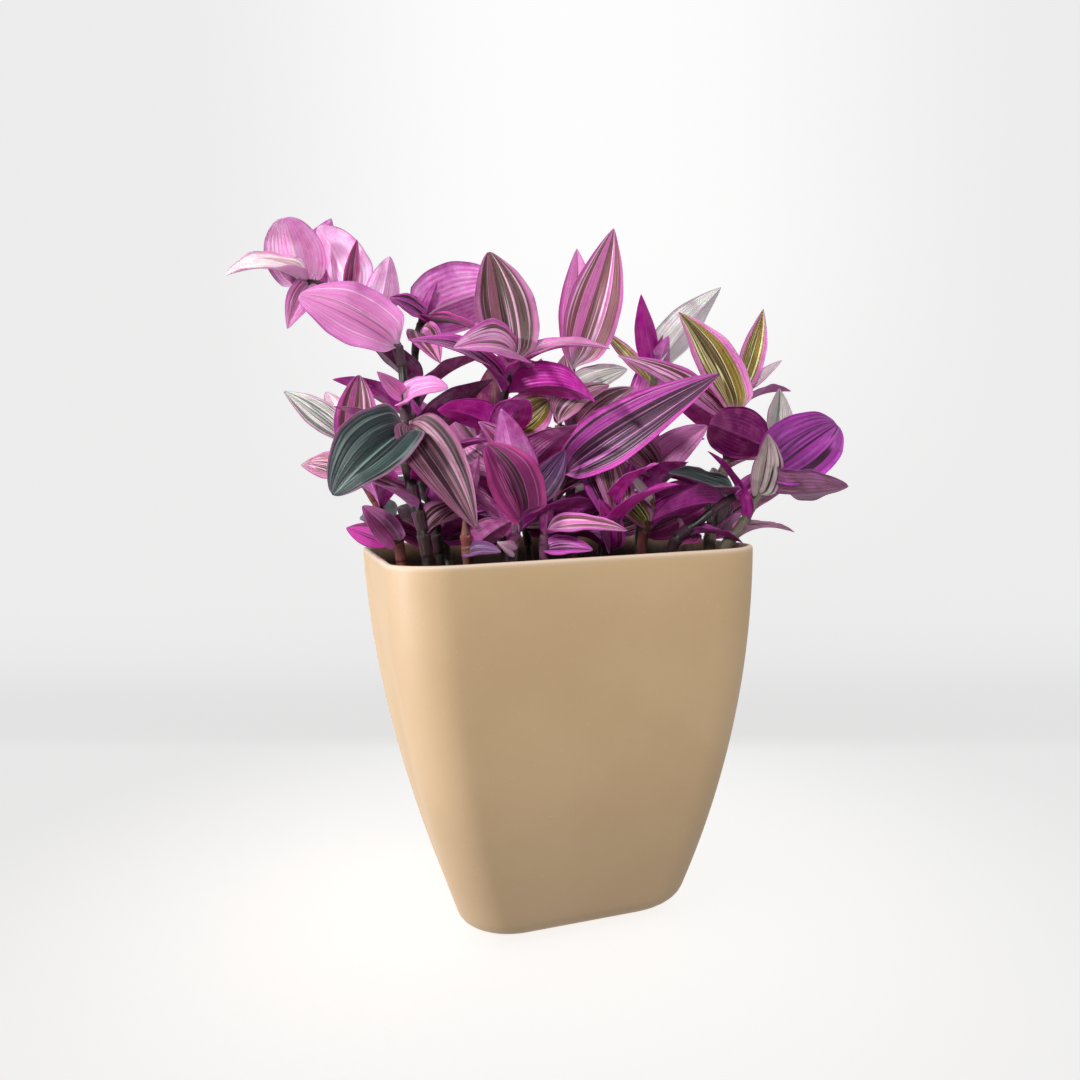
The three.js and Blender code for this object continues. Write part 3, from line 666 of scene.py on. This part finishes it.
def leaf_material():
    material, n, shader = new_material("leaf")
    stripes = n.new("ShaderNodeGroup", node_tree=stripes_group())
    for name in ("Ground", "Bands", "Lines", "Margin", "Pattern"):
        n.feed(stripes.inputs[name], n.attribute(name.lower()))
    n.feed(stripes.inputs["Seed"], n.attribute("seed", "Fac"))
    bands, lines = n.attribute("bands"), n.attribute("lines")
    hair, reach = stripes.outputs["Hair"], stripes.outputs["Reach"]
    place = n.place()
    blotch = n.noise(place, 170.0, 3.0, 0.6)
    speck = n.noise(place, 2600.0, 1.0, 0.5)
    upper = n.lay(stripes.outputs["Color"], bands, blotch, 0.5, 0.3, 0.3)
    under = n.lay(n.attribute("under"), lines, blotch, 0.4, 0.7, 0.4)
    under = n.lay(under, bands, blotch, 0.5, 0.3, 0.3)
    under = n.lay(under, bands, hair, 0.45, 0.7, 0.3)
    under = n.lay(under, bands, reach, 0.94, 1.0, 0.5)
    under = n.lay(under, lines, reach, 0.06, 0.02, 0.35)
    color = n.mix(n.attribute("back", "Fac"), upper, under)
    color = n.lay(color, lines, speck, 0.66, 0.8, 0.22)
    relief = n.math("MULTIPLY_ADD", speck, 0.25, stripes.outputs["Veins"])
    finish(n, shader, color, n.step(blotch, 0.3, 0.7, 0.38, 0.52), relief, 0.4, 0.0003, LEAF_GLOSS)
    return material


def stem_material():
    material, n, shader = new_material("stem")
    place = n.place()
    ribbed = n.new("ShaderNodeMapping", {"Vector": place, "Scale": (900, 900, 60)}).outputs[0]
    ribs = n.noise(ribbed, 1.0, 2.0)
    mottle = n.noise(place, 180.0, 3.0, 0.6)
    color = n.lay(n.attribute("ground"), n.attribute("bands"), mottle, 0.35, 0.7)
    color = n.lay(color, n.attribute("lines"), ribs, 0.5, 0.75, 0.4)
    finish(n, shader, color, n.step(mottle, 0.3, 0.7, 0.38, 0.55), ribs, 0.4, 0.0004, STEM_GLOSS)
    return material


def planter_material(color):
    material, n, shader = new_material("planter plastic")
    place = n.place()
    height = n.new("ShaderNodeSeparateXYZ", {0: place}).outputs[2]
    cloud = n.noise(place, 16.0, 4.0, 0.55)
    grain = n.noise(place, 900.0, 2.0, 0.5)
    deeper = (color[0] * 0.94, color[1] * 0.92, color[2] * 0.9, 1)
    painted_foot_shade = (color[0] * 0.72, color[1] * 0.72, color[2] * 0.78, 1)
    shade = n.lay((*color, 1), deeper, cloud, 0.35, 0.68)
    # Painted shade: the plastic darkens from 90 mm down towards the foot.
    shade = n.lay(shade, painted_foot_shade, height, 0.09, 0.0, 0.55)
    shade = n.lay(shade, (0.9, 0.82, 0.7, 1), grain, 0.6, 0.8, 0.12)
    # Painted highlight: a pale band along the top of the rim's lip.
    shade = n.lay(shade, (0.93, 0.78, 0.68, 1), height, 0.1535, 0.1555, 0.45)
    # Painted shade on the inside: near-black over the walls that face the planter's axis, below a ragged
    # line just under the rim.
    flat = n.vector_math("MULTIPLY", place, (1, 1, 0))
    facing = n.new("ShaderNodeNewGeometry").outputs["Normal"]
    outward = n.vector_math("DOT_PRODUCT", flat, facing, "Value")
    inner_shade_line = n.math("MULTIPLY_ADD", n.noise(place, 60.0, 4.0, 0.7), 0.012, height)
    painted_inner_shade = n.math("MULTIPLY", n.step(outward, 0.0, -0.02), n.step(inner_shade_line, 0.163, 0.152))
    shade = n.mix(n.math("MULTIPLY", painted_inner_shade, 0.93), shade, tint("#2a1a16"))
    relief = n.math("ADD", n.math("MULTIPLY", cloud, 2.0), n.math("MULTIPLY", grain, 0.25))
    finish(n, shader, shade, n.step(cloud, 0.3, 0.7, 0.52, 0.6), relief, 0.15, 0.0006)
    return material


def compost_material():
    material, n, shader = new_material("compost")
    place = n.place()
    crumb = n.noise(place, 700.0, 4.0, 0.7)
    patch = n.noise(place, 70.0, 3.0, 0.6)
    color = n.lay(tint("#1b110c"), tint("#4a3325"), crumb, 0.35, 0.7)
    color = n.lay(color, tint("#2a1d16"), patch, 0.45, 0.7, 0.5)
    finish(n, shader, color, 0.95, crumb, 0.9, 0.0012)
    return material


def crumb_material():
    material, n, shader = new_material("bark and grit")
    place = n.place()
    grain = n.noise(place, 1400.0, 3.0, 0.6)
    color = n.lay(n.attribute("ground"), tint("#140c08"), grain, 0.4, 0.65, 0.5)
    finish(n, shader, color, 0.9, grain, 0.6, 0.0006)
    return material


# ------------------------------------------------------------------ planter and compost


def wall_half(s, z):
    """Half of the planter's outside width at a height."""
    t = z / s.height
    half = s.foot_half + (s.rim_half - s.foot_half) * (t + s.bow * t * (1 - t))
    lift = max(0.0, 1 - z / s.fillet)
    return half - s.fillet * (1 - sqrt(1 - lift * lift))


def corner_radius(s, z):
    return s.foot_corner + (s.rim_corner - s.foot_corner) * (z / s.height)


QUARTERS = ((1, 1), (-1, 1), (-1, -1), (1, -1))


def square_ring(half, radius, z, steps=12, straights=5):
    """A square ring with rounded corners, and some points along its straight sides."""
    ring = []
    for quarter in range(4):
        start = quarter * 90
        for k in range(steps + 1):
            angle = radians(start + 90 * k / steps)
            sx, sy = QUARTERS[quarter]
            x = sx * (half - radius) + radius * cos(angle)
            y = sy * (half - radius) + radius * sin(angle)
            ring.append((x, y))
        turned = Quaternion(UP, radians(start + 90))
        for k in range(1, straights + 1):
            along = (half - radius) * (1 - 2 * k / (straights + 1))
            point = turned @ Vector((half, -along, 0))
            ring.append((point.x, point.y))
    return [(x, y, z) for x, y in ring]


def planter_rings(s):
    """The rings of the planter's skin, from the middle of its foot round the rim to its floor."""
    lip = s.wall / 2
    top = s.height - lip
    foot = s.foot_half - s.fillet
    rings = [square_ring(max(1, foot * k), s.foot_corner * 0.6 * k, 0) for k in (0.1, 0.55)]
    turns = [radians(90) * k / RINGS["fillet"] for k in range(RINGS["fillet"] + 1)]
    levels = [s.fillet * (1 - cos(turn)) for turn in turns]
    levels += [s.fillet + (top - s.fillet) * k / RINGS["wall"] for k in range(1, RINGS["wall"] + 1)]
    rings += [square_ring(wall_half(s, z), corner_radius(s, z), z) for z in levels]
    for k in range(1, RINGS["lip"] + 1):
        turn = pi * k / RINGS["lip"]
        inset = lip * (1 - cos(turn))
        z = top + lip * sin(turn)
        rings.append(square_ring(wall_half(s, s.height) - inset, s.rim_corner - inset, z))
    base = s.floor + 4
    for k in range(1, RINGS["inside"] + 1):
        z = top + (base - top) * k / RINGS["inside"]
        rings.append(square_ring(wall_half(s, z) - s.wall, corner_radius(s, z) - s.wall, z))
    rings.append(square_ring(wall_half(s, base) - s.wall - 3, corner_radius(s, base) - 5, s.floor))
    rings.append(square_ring(12, 4, s.floor))
    return rings


def capped(rings):
    """Points and faces of a skin over rings with both ends closed by a flat face."""
    around = len(rings[0])
    faces = grid_faces(len(rings), around)
    faces.append(tuple(range(around))[::-1])
    faces.append(tuple(range((len(rings) - 1) * around, len(rings) * around)))
    return [p for ring in rings for p in ring], faces


def cut_drains(obj, s):
    """Cuts the drain holes out of the planter's floor."""
    for sx, sy in QUARTERS:
        centre = (sx * s.drain_offset * MM, sy * s.drain_offset * MM, 0)
        bpy.ops.mesh.primitive_cylinder_add(
            vertices=32, radius=s.drain_radius * MM, depth=5 * s.floor * MM, location=centre
        )
        tool = bpy.context.object
        modifier = obj.modifiers.new("drain", "BOOLEAN")
        modifier.operation = "DIFFERENCE"
        modifier.object = tool
        bpy.context.view_layer.objects.active = obj
        bpy.ops.object.modifier_apply(modifier=modifier.name)
        bpy.data.objects.remove(tool)


class OBJECT_OT_tradescantia_planter(bpy.types.Operator):
    """Moulds the square tapered planter with its soft rim and drain holes"""

    bl_idname = "object.tradescantia_planter"
    bl_label = "Planter"

    def execute(self, context):
        s = context.scene.tradescantia_planter
        parts = Parts()
        parts.add(*capped(planter_rings(s)))
        obj = parts.mesh("moulded_planter")
        cut_drains(obj, s)
        give_materials(obj, planter_material(tuple(s.color)))
        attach(obj, "root")
        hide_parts("planter")
        return {"FINISHED"}


# The clearance between compost and planter, and the colour and the share of each kind of crumb.
COMPOST_GAP = 0.35
CRUMBS = (
    ("#3a2417", 0.3), ("#24160f", 0.32), ("#55392a", 0.2), ("#6b4a34", 0.12), ("#d9d3c8", 0.06),
)


def compost_height(x, y):
    """The compost's surface above or below its level."""
    crumbs = sin(x * 0.23 + 1.3) * cos(y * 0.19 - 0.4)
    swell = 2.2 * (crumbs + 0.5 * sin((x + y) * 0.11))
    return swell + 1.1 * noise.fractal(Vector((x * 0.2, y * 0.2, 4.0)), 1.0, 2.0, 4)


class OBJECT_OT_tradescantia_compost(bpy.types.Operator):
    """Fills the planter with compost, with crumbs of bark and grit on its surface"""

    bl_idname = "object.tradescantia_compost"
    bl_label = "Compost"

    def execute(self, context):
        pot, s = context.scene.tradescantia_planter, context.scene.tradescantia_compost
        inset = pot.wall + COMPOST_GAP
        low = pot.floor + COMPOST_GAP
        rings = [square_ring(30, 8, low), square_ring(wall_half(pot, low + 4) - inset - 3.5, 8, low)]
        for k in range(RINGS["fill"] + 1):
            z = low + 4 + (s.top - 3 - low - 4) * k / RINGS["fill"]
            rings.append(square_ring(wall_half(pot, z) - inset, corner_radius(pot, z) - inset, z))
        half, radius = wall_half(pot, s.top) - inset, corner_radius(pot, s.top) - inset
        for k in range(RINGS["surface"]):
            shrink = 0.995 * (1 - k / RINGS["surface"])
            ring = square_ring(half * shrink, radius * shrink, s.top)
            rings.append([(x, y, z + compost_height(x, y)) for x, y, z in ring])
        parts = Parts()
        parts.add(*capped(rings))
        obj = parts.mesh("compost_fill")
        give_materials(obj, compost_material())
        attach(obj, "root")
        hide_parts("compost")
        self.scatter(s, half)
        return {"FINISHED"}

    def scatter(self, s, half):
        """Crumbs of bark and peat, with a few white grains, on the surface."""
        random = np.random.RandomState(611)
        bpy.ops.mesh.primitive_ico_sphere_add(subdivisions=2, radius=0.5)
        ball = bpy.context.object
        shape = np.array([v.co[:] for v in ball.data.vertices])
        faces = [tuple(p.vertices) for p in ball.data.polygons]
        bpy.data.objects.remove(ball)
        kinds, shares = [tint(code) for code, _ in CRUMBS], [share for _, share in CRUMBS]
        parts = Parts()
        for _ in range(s.crumbs):
            x, y = random.uniform(-1, 1, 2) * (half - 4)
            kind = random.choice(len(kinds), p=shares)
            stretch = random.uniform(0.5, 1.5, 3) * s.crumb_size * random.uniform(0.5, 1.2)
            stretch[2] *= 0.6
            jag = 1 + 0.35 * random.uniform(-1, 1, (len(shape), 1))
            turn = Quaternion(random.uniform(-1, 1, 3), random.uniform(0, 6.3)).to_matrix()
            points = (shape * jag * stretch) @ np.array(turn).T
            points += (x, y, s.top + compost_height(x, y) + 0.2)
            parts.add(points, faces, ground=kinds[kind])
        obj = parts.mesh("compost_crumbs")
        give_materials(obj, crumb_material())
        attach(obj, "root")


# ------------------------------------------------------------------ stems


def stem_point(knots, knot):
    """The point at a knot number on the straight lines between the knots."""
    below = min(int(knot), len(knots) - 2)
    return Vector(knots[below]).lerp(Vector(knots[below + 1]), knot - below)


def stem_curve(knots, knot):
    """The point at a knot number on the smooth curve through the knots."""
    points = [Vector(k) for k in knots]
    points = [2 * points[0] - points[1], *points, 2 * points[-1] - points[-2]]
    below = min(int(knot), len(knots) - 2)
    a, b, c, d = points[below : below + 4]
    t = knot - below
    square, cube = 2 * a - 5 * b + 4 * c - d, 3 * b - a - 3 * c + d
    return 0.5 * (2 * b + (c - a) * t + square * t * t + cube * t**3)


def stem_radius(knots, knot):
    return STEM_RADII[0] + (STEM_RADII[1] - STEM_RADII[0]) * knot / (len(knots) - 1)


def stem_frame(knots, knot):
    """Centre, direction and two sides at a knot number."""
    step = 0.02
    last = len(knots) - 1
    low, high = max(0, knot - step), min(last, knot + step)
    along = (stem_curve(knots, high) - stem_curve(knots, low)).normalized()
    side = Vector((0, 1, 0)).cross(along).normalized()
    return stem_curve(knots, min(knot, last)), along, side, along.cross(side)


def stem_rings(knots, stations, sides):
    """Rings of points at (knot, radius) stations along the stem."""
    rings = []
    for knot, radius in stations:
        centre, _, side, front = stem_frame(knots, knot)
        angles = [2 * pi * k / sides for k in range(sides)]
        rings.append([centre + radius * (cos(a) * side + sin(a) * front) for a in angles])
    return rings


def add_stem(parts, shoot, joints, s):
    """The stem, with a swelling at each joint."""
    knots = shoot["knots"]
    last = len(knots) - 1
    dark, light = (tint(code) for code in STEM_TINTS[shoot["stem"]])
    stations = []
    for k in range(last * 10 + 1):
        knot = k / 10
        near = (exp(-(((knot - joint) / SWELLING["reach"]) ** 2)) for joint in joints)
        swell = min(SWELLING["most"], sum(SWELLING["height"] * part for part in near))
        stations.append((knot, stem_radius(knots, knot) * STEM_SLIM + swell))
    rings = stem_rings(knots, stations, s.stem_sides)
    points, faces = capped(rings)
    colors = (dark, light, light, light, dark)
    parts.add(
        points, faces, 1, **dict(zip(TONE_PARTS, colors)), pattern=(0, 0, 0, 1), seed=0.0, back=0.0,
        uv=(0.5, 0.5),
    )


def add_sheath(parts, shoot, joint, tone, seed, s):
    """The thin sleeve that a leaf's base makes round the stem under it."""
    knots = shoot["knots"]
    last = len(knots) - 1
    step = 0.2
    span = stem_curve(knots, min(joint, last)) - stem_curve(knots, max(0, joint - step))
    drop = s.sheath / max(span.length / step, 8)
    radius = stem_radius(knots, joint) * STEM_SLIM
    stations = [(min(last, max(0, joint - drop * t)), radius + out) for t, out in SHEATH]
    rings = stem_rings(knots, stations, s.stem_sides)
    points, faces = capped(rings)
    stem = np.array(tint(STEM_TINTS[shoot["stem"]][1]))
    colors = [0.1 * np.array(tint(code)) + 0.9 * stem for code in tone[:5]]
    count, sides = len(rings), s.stem_sides
    uv = [((j % 7) / 7, i / count) for i in range(count) for j in range(sides)]
    parts.add(
        points, faces, 0, **dict(zip(TONE_PARTS, colors)), pattern=(*tone[5], 1), seed=seed, back=0.0, uv=uv
    )


# ------------------------------------------------------------------ leaves


class Leaf:
    """A leaf between its root on the stem and its tip."""

    def __init__(self, joint, root, tip, width, arch, face, twist, tone):
        self.joint, self.root, self.tip, self.width, self.arch = joint, root, tip, width, arch
        self.face, self.twist, self.tone = face, twist, tone

    def swung(self, turn, lift, shrink):
        """The same leaf turned about the stem and lifted, in degrees, and shortened."""
        way = self.tip - self.root
        side = UP.cross(way).normalized()
        spin = Quaternion(UP, radians(turn)) @ Quaternion(side, -radians(lift))
        tip = self.root + (spin @ way) * shrink
        face = spin @ self.face
        width, arch = self.width * shrink, self.arch * shrink
        return Leaf(self.joint, self.root, tip, width, arch, face, self.twist, self.tone)


class Draw:
    """The repeatable draw between -1 and 1 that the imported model's leaves by rule follow."""

    def __init__(self, seed=20117):
        self.state = seed

    def __call__(self):
        self.state = (self.state * 16807) % 2147483647
        return 2 * self.state / 2147483647 - 1


def listed_leaves(shoot):
    leaves = []
    for knot, x, y, z, width, arch, lean, tone in shoot["leaves"]:
        face = Vector((0, -sin(radians(lean)), cos(radians(lean))))
        root = stem_point(shoot["knots"], knot)
        leaves.append(Leaf(knot, root, Vector((x, y, z)), width, arch, face, 0, tone))
    return leaves


def filled_leaves(shoot, draw):
    """The leaves by rule: one at each joint, on alternate sides of the stem."""
    rule = FILL_RULE
    first, last, count, size, tones = shoot["fill"]
    leaves = []
    azimuth = 180 * draw()
    for i in range(count):
        knot = first + (last - first) * (i + 0.5) / count
        root = stem_point(shoot["knots"], knot)
        azimuth += 180 + rule["turn_draw"] * draw()
        turn = radians(azimuth)
        lift = radians(rule["rise"] + rule["climb"] * (i / count) + rule["rise_draw"] * draw())
        length = size * (1 + rule["length_draw"] * draw())
        way = Vector((cos(lift) * cos(turn), cos(lift) * sin(turn), sin(lift)))
        face = Quaternion(way, radians(rule["lean_draw"] * draw())) @ UP
        shape = (rule["width"] * length, rule["arch"] * length, face, rule["twist_draw"] * draw())
        leaves.append(Leaf(knot, root, root + way * length, *shape, tones[i % len(tones)]))
    return leaves


def settled(leaf, corners):
    """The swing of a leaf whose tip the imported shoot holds, or nothing if it was left out."""
    for shrink in SWING["shrinks"]:
        for i in range(SWING["tries"]):
            reach = SWING["step"] * sqrt(i)
            angle = radians(SWING["turn"] * i)
            tried = leaf.swung(reach * cos(angle), reach * sin(angle), shrink)
            if np.min(np.sum((corners - tried.tip) ** 2, axis=1)) < SWING["match"] ** 2:
                return tried
    return None


def blade_grid(leaf, u, s, seed):
    """Middle surface points and normals of a blade, with rows along u and columns across s."""
    rule = LEAF_RULE
    chord = leaf.tip - leaf.root
    way = chord.normalized()
    side = way.cross(leaf.face).normalized()
    face = side.cross(way)
    control = leaf.root + chord * rule["crest"] + face * (2 * leaf.arch)
    root, control, tip, side, face = (np.array(v) for v in (leaf.root, control, leaf.tip, side, face))
    u = u[:, None]
    centre = (1 - u) ** 2 * root + 2 * u * (1 - u) * control + u**2 * tip
    along = 2 * (1 - u) * (control - root) + 2 * u * (tip - control)
    along /= np.linalg.norm(along, axis=1, keepdims=True)
    twist = np.radians(leaf.twist) * u
    flat = np.cross(side[None, :], along)
    across = side * np.cos(twist) - flat * np.sin(twist)
    normal = np.cross(across, along)
    blunt = smooth(BLUNT["from"], BLUNT["to"], leaf.width / chord.length)
    widest = rule["widest"] + BLUNT["widest"] * blunt
    shape = np.sin(pi * np.clip(u, 0, 1) ** widest) ** ((0.62 + 0.2 * u) * (1 - BLUNT["round"] * blunt))
    least = rule["least"] * (1 - smooth(0.7, 1, u))
    half = np.maximum(leaf.width / 2 * shape * (0.3 + 0.7 * smooth(0, 0.16, u)), least)
    fold = np.radians(rule["fold"] + (rule["base_fold"] - rule["fold"]) * (1 - u) ** 4)
    reach, hand = np.abs(s)[None, :], np.sign(s)[None, :]
    bend = fold * (1.3 - 0.3 * reach)
    out, rise = reach * np.cos(fold * (1.15 - 0.15 * reach)), reach * np.sin(bend * 0.86)
    wave = rule["wave"] * leaf.width * np.sin(2 * pi * rule["waves"] * u + hand) * reach
    phase = 2 * pi * rule["ripples"] * u + 9 * seed + 2 * hand
    ripple = rule["ripple"] * leaf.width * np.sin(phase) * reach**3
    furrow = rule["furrow"] * np.sin(2 * pi * rule["furrows"] * reach + 6 * seed)
    height = rise * half + (wave + ripple + furrow) * shape
    points = centre[:, None, :] + across[:, None, :] * (hand * out * half)[..., None]
    points = points + normal[:, None, :] * height[..., None]
    return points, normal


def add_blade(parts, leaf, seed, s):
    """One leaf: an upper and a lower skin, joined round the margin, with a keel along the midrib."""
    columns = s.blade_columns
    spread = np.linspace(-1, 1, 2 * columns + 1)
    across = np.sign(spread) * np.abs(spread) ** 1.1
    t = np.linspace(0, 1, s.blade_rows + 1)
    along = 0.5 * t + 0.25 * (1 - np.cos(pi * t))
    points, normal = blade_grid(leaf, along, across, seed)
    edge = 1 - 0.45 * np.abs(across)[None, :] ** 3
    thick = 0.5 * s.thickness * edge * (1 - 0.6 * smooth(0.85, 1, along))[:, None]
    keel = KEEL["height"] * np.exp(-((across / KEEL["width"]) ** 2))[None, :] * (1 - along)[:, None]
    upper = points + normal[:, None, :] * thick[..., None]
    lower = points - normal[:, None, :] * (thick + keel)[..., None]
    rows, width = upper.shape[:2]
    rows -= 1
    skins = [skin[:rows].reshape(-1, 3) for skin in (upper, lower)]
    body = np.concatenate([*skins, [points[rows, columns]]])
    bottom, tip = rows * width, 2 * rows * width
    faces = [face[::-1] for face in grid_faces(rows, width, closed=False)]
    faces += grid_faces(rows, width, closed=False, start=bottom)
    for i in range(rows - 1):
        left, right = i * width, i * width + width - 1
        faces.append((left, left + width, left + width + bottom, left + bottom))
        faces.append((right, right + bottom, right + width + bottom, right + width))
    end = (rows - 1) * width
    for j in range(width - 1):
        faces.append((end + j + 1, end + j, tip))
        faces.append((end + j + bottom, end + j + 1 + bottom, tip))
        faces.append((j, j + 1, j + 1 + bottom, j + bottom))
    faces.append((end, end + bottom, tip))
    faces.append((end + width - 1 + bottom, end + width - 1, tip))
    grain = np.broadcast_arrays(0.5 + 0.5 * across[None, :], along[:rows, None])
    uv = np.stack(grain, axis=-1).reshape(-1, 2)
    uv = np.concatenate([uv, uv, [(0.5, 1.0)]])
    back = np.concatenate([np.zeros(bottom), np.ones(bottom), [0.0]])
    *codes, pattern = TONES[leaf.tone]
    shade = 0.86 + 0.28 * ((seed * 7.3) % 1)
    colors = [np.array(tint(code)) * (shade, shade, shade, 1) for code in codes]
    parts.add(
        body, faces, 0, **dict(zip(TONE_PARTS, colors)), pattern=(*pattern, 1), seed=seed, back=back, uv=uv
    )


def bud(shoot, tone):
    """The rolled young leaf at the end of a stem."""
    knots = shoot["knots"]
    end, along, side, front = stem_frame(knots, len(knots) - 1)
    way = (along + 0.35 * UP + 0.2 * side).normalized()
    tip = end + way * BUD["length"]
    return Leaf(len(knots) - 1, end, tip, BUD["width"], BUD["arch"], front, BUD["twist"], tone)


class OBJECT_OT_tradescantia_shoots(bpy.types.Operator):
    """Grows the leafy shoots: stems, sheaths, striped leaves and buds"""

    bl_idname = "object.tradescantia_shoots"
    bl_label = "Leafy shoots"

    def execute(self, context):
        s = context.scene.tradescantia_shoots
        draw = Draw()
        filled = {name: filled_leaves(shoot, draw) for name, shoot in SHOOTS.items()}
        leaf_look, stem_look = leaf_material(), stem_material()
        random = np.random.RandomState(77)
        for name, shoot in SHOOTS.items():
            corners = np.array([v.co[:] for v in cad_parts[name].data.vertices]) / MM
            leaves = [settled(leaf, corners) for leaf in listed_leaves(shoot) + filled[name]]
            leaves = [leaf for leaf in leaves if leaf]
            parts = Parts()
            add_stem(parts, shoot, [leaf.joint for leaf in leaves], s)
            for leaf in leaves + [bud(shoot, shoot["fill"][4][0])]:
                seed = random.uniform(0, 1)
                add_blade(parts, leaf, seed, s)
                add_sheath(parts, shoot, leaf.joint, TONES[leaf.tone], seed, s)
            obj = parts.mesh(name.replace("shoot", "leafy_stem"))
            give_materials(obj, leaf_look, stem_look)
            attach(obj, "root")
            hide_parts(name)
        return {"FINISHED"}


# ------------------------------------------------------------------ stage


def glowing_paper_material(edge):
    """Paper that glows with painted light, mapped in metres from the edge where its grey part starts."""
    material, n, shader = new_material("sweep paper")
    place = n.new("ShaderNodeUVMap", uv_map="grain").outputs[0]
    across, run, _ = n.new("ShaderNodeSeparateXYZ", {0: place}).outputs
    # Painted light: a pool round the planter's foot, a darker band from the edge on as a painted horizon,
    # and a lighter glow high in the wall's middle.
    near = n.step(n.vector_math("DISTANCE", place, (0, -edge, 0), "Value"), *BACKDROP_GLOW["near"])
    rise = n.step(run, *BACKDROP_GLOW["rise"])
    halo = n.math("MULTIPLY", n.step(n.math("ABSOLUTE", across), 0.52, 0.05), n.step(run, 0.3, 0.8))
    far = n.mix(halo, rise, (BACKDROP_GLOW["halo"],) * 3 + (1,))
    n.feed(shader["Emission Color"], n.lay(near, far, run, -0.03, 0.02))
    for socket, value in BACKDROP_GLOW["constants"]:
        shader[socket].default_value = value
    return material


def add_area(name, lit, place, target, size, color, power):
    """A round soft light that falls on some of the objects only."""
    lamp = bpy.data.lights.new(name, "AREA")
    lamp.shape = "DISK"
    lamp.size, lamp.energy, lamp.color = size, power, color
    obj = bpy.data.objects.new(name, lamp)
    obj.location = place
    obj.rotation_euler = (Vector(target) - Vector(place)).to_track_quat("-Z", "Y").to_euler()
    bpy.context.scene.collection.objects.link(obj)
    receivers = bpy.data.collections.new(name + " falls on")
    for piece in lit:
        receivers.objects.link(piece)
    obj.light_linking.receiver_collection = receivers


class OBJECT_OT_tradescantia_stage(bpy.types.Operator):
    """Lays a pale sweep that glows with painted light under the planter, with soft light and the camera"""

    bl_idname = "object.tradescantia_stage"
    bl_label = "Stage"

    def execute(self, context):
        s = context.scene.tradescantia_stage
        pieces = [obj for obj in context.scene.objects if obj.type == "MESH"]
        self.sweep(s)
        self.light(context.scene, s, pieces)
        self.camera(context.scene, s)
        return {"FINISHED"}

    def sweep(self, s):
        """A floor that curves up into a wall behind the planter, square to the level of the view."""
        reach, bend, edge = s.wall * MM, SWEEP["bend"], s.edge * MM
        flat = reach - bend
        profile = [(-SWEEP["front"], 0.0, -SWEEP["front"]), (flat, 0.0, flat)]
        for k in range(1, SWEEP["steps"] + 1):
            turn = radians(90 * k / SWEEP["steps"])
            profile.append((flat + bend * sin(turn), bend * (1 - cos(turn)), flat + bend * turn))
        profile.append((reach, SWEEP["top"], reach + SWEEP["top"]))
        turned = Quaternion(UP, -s.yaw - s.roll * s.wall_turn)
        sides = (-SWEEP["side"], SWEEP["side"])
        points = [turned @ Vector((x, y, z)) / MM for y, z, _ in profile for x in sides]
        uv = [(x, run - edge) for *_, run in profile for x in sides]
        parts = Parts()
        parts.add(points, grid_faces(len(profile), 2, closed=False), uv=uv)
        obj = parts.mesh("sweep")
        give_materials(obj, glowing_paper_material(edge))
        obj.visible_diffuse = False

    def light(self, scene, s, pieces):
        world = bpy.data.worlds.new("studio")
        world.use_nodes = True
        sky = world.node_tree.nodes["Background"].inputs
        sky["Color"].default_value = (1, 1, 1, 1)
        sky["Strength"].default_value = s.fill
        scene.world = world
        lit = {"leafy": [piece for piece in pieces if piece.name.startswith("leafy")]}
        lit["pot"] = [piece for piece in pieces if piece not in lit["leafy"]]
        for name, (falls_on, *how) in LAMPS.items():
            add_area(name, lit[falls_on], *how, getattr(s, name))
        scene.view_settings.view_transform = "Standard"

    def camera(self, scene, s):
        data = bpy.data.cameras.new("camera")
        data.lens, data.sensor_width = s.lens, 36
        data.clip_start = 0.01
        obj = bpy.data.objects.new("camera", data)
        way = Vector((sin(s.yaw), cos(s.yaw), 0))
        obj.location = (-way * s.distance + UP * s.eye) * MM
        look = way * cos(s.pitch) - UP * sin(s.pitch)
        turn = look.to_track_quat("-Z", "Y") @ Quaternion((0, 0, 1), -s.roll)
        obj.rotation_euler = turn.to_euler()
        scene.collection.objects.link(obj)
        scene.camera = obj


class VIEW3D_PT_tradescantia(bpy.types.Panel):
    """Lists the pieces of the potted tradescantia"""

    bl_label = "Potted tradescantia"
    bl_idname = "VIEW3D_PT_tradescantia"
    bl_space_type = "VIEW_3D"
    bl_region_type = "UI"
    bl_category = "Tradescantia"

    def draw(self, context):
        for operator in OPERATORS:
            self.layout.operator(operator.bl_idname)


OPERATORS = (
    OBJECT_OT_tradescantia_planter,
    OBJECT_OT_tradescantia_compost,
    OBJECT_OT_tradescantia_shoots,
    OBJECT_OT_tradescantia_stage,
)
SETTINGS = {
    "tradescantia_planter": PlanterSettings,
    "tradescantia_compost": CompostSettings,
    "tradescantia_shoots": ShootSettings,
    "tradescantia_stage": StageSettings,
}


def register():
    for cls in (*SETTINGS.values(), *OPERATORS, VIEW3D_PT_tradescantia):
        bpy.utils.register_class(cls)
    for name, cls in SETTINGS.items():
        setattr(bpy.types.Scene, name, PointerProperty(type=cls))


def unregister():
    for name in SETTINGS:
        delattr(bpy.types.Scene, name)
    for cls in (VIEW3D_PT_tradescantia, *reversed(OPERATORS), *reversed(SETTINGS.values())):
        bpy.utils.unregister_class(cls)


def main():
    register()
    bpy.ops.object.tradescantia_planter()
    bpy.ops.object.tradescantia_compost()
    bpy.ops.object.tradescantia_shoots()
    bpy.ops.object.tradescantia_stage()


if __name__ == "__main__":
    main()
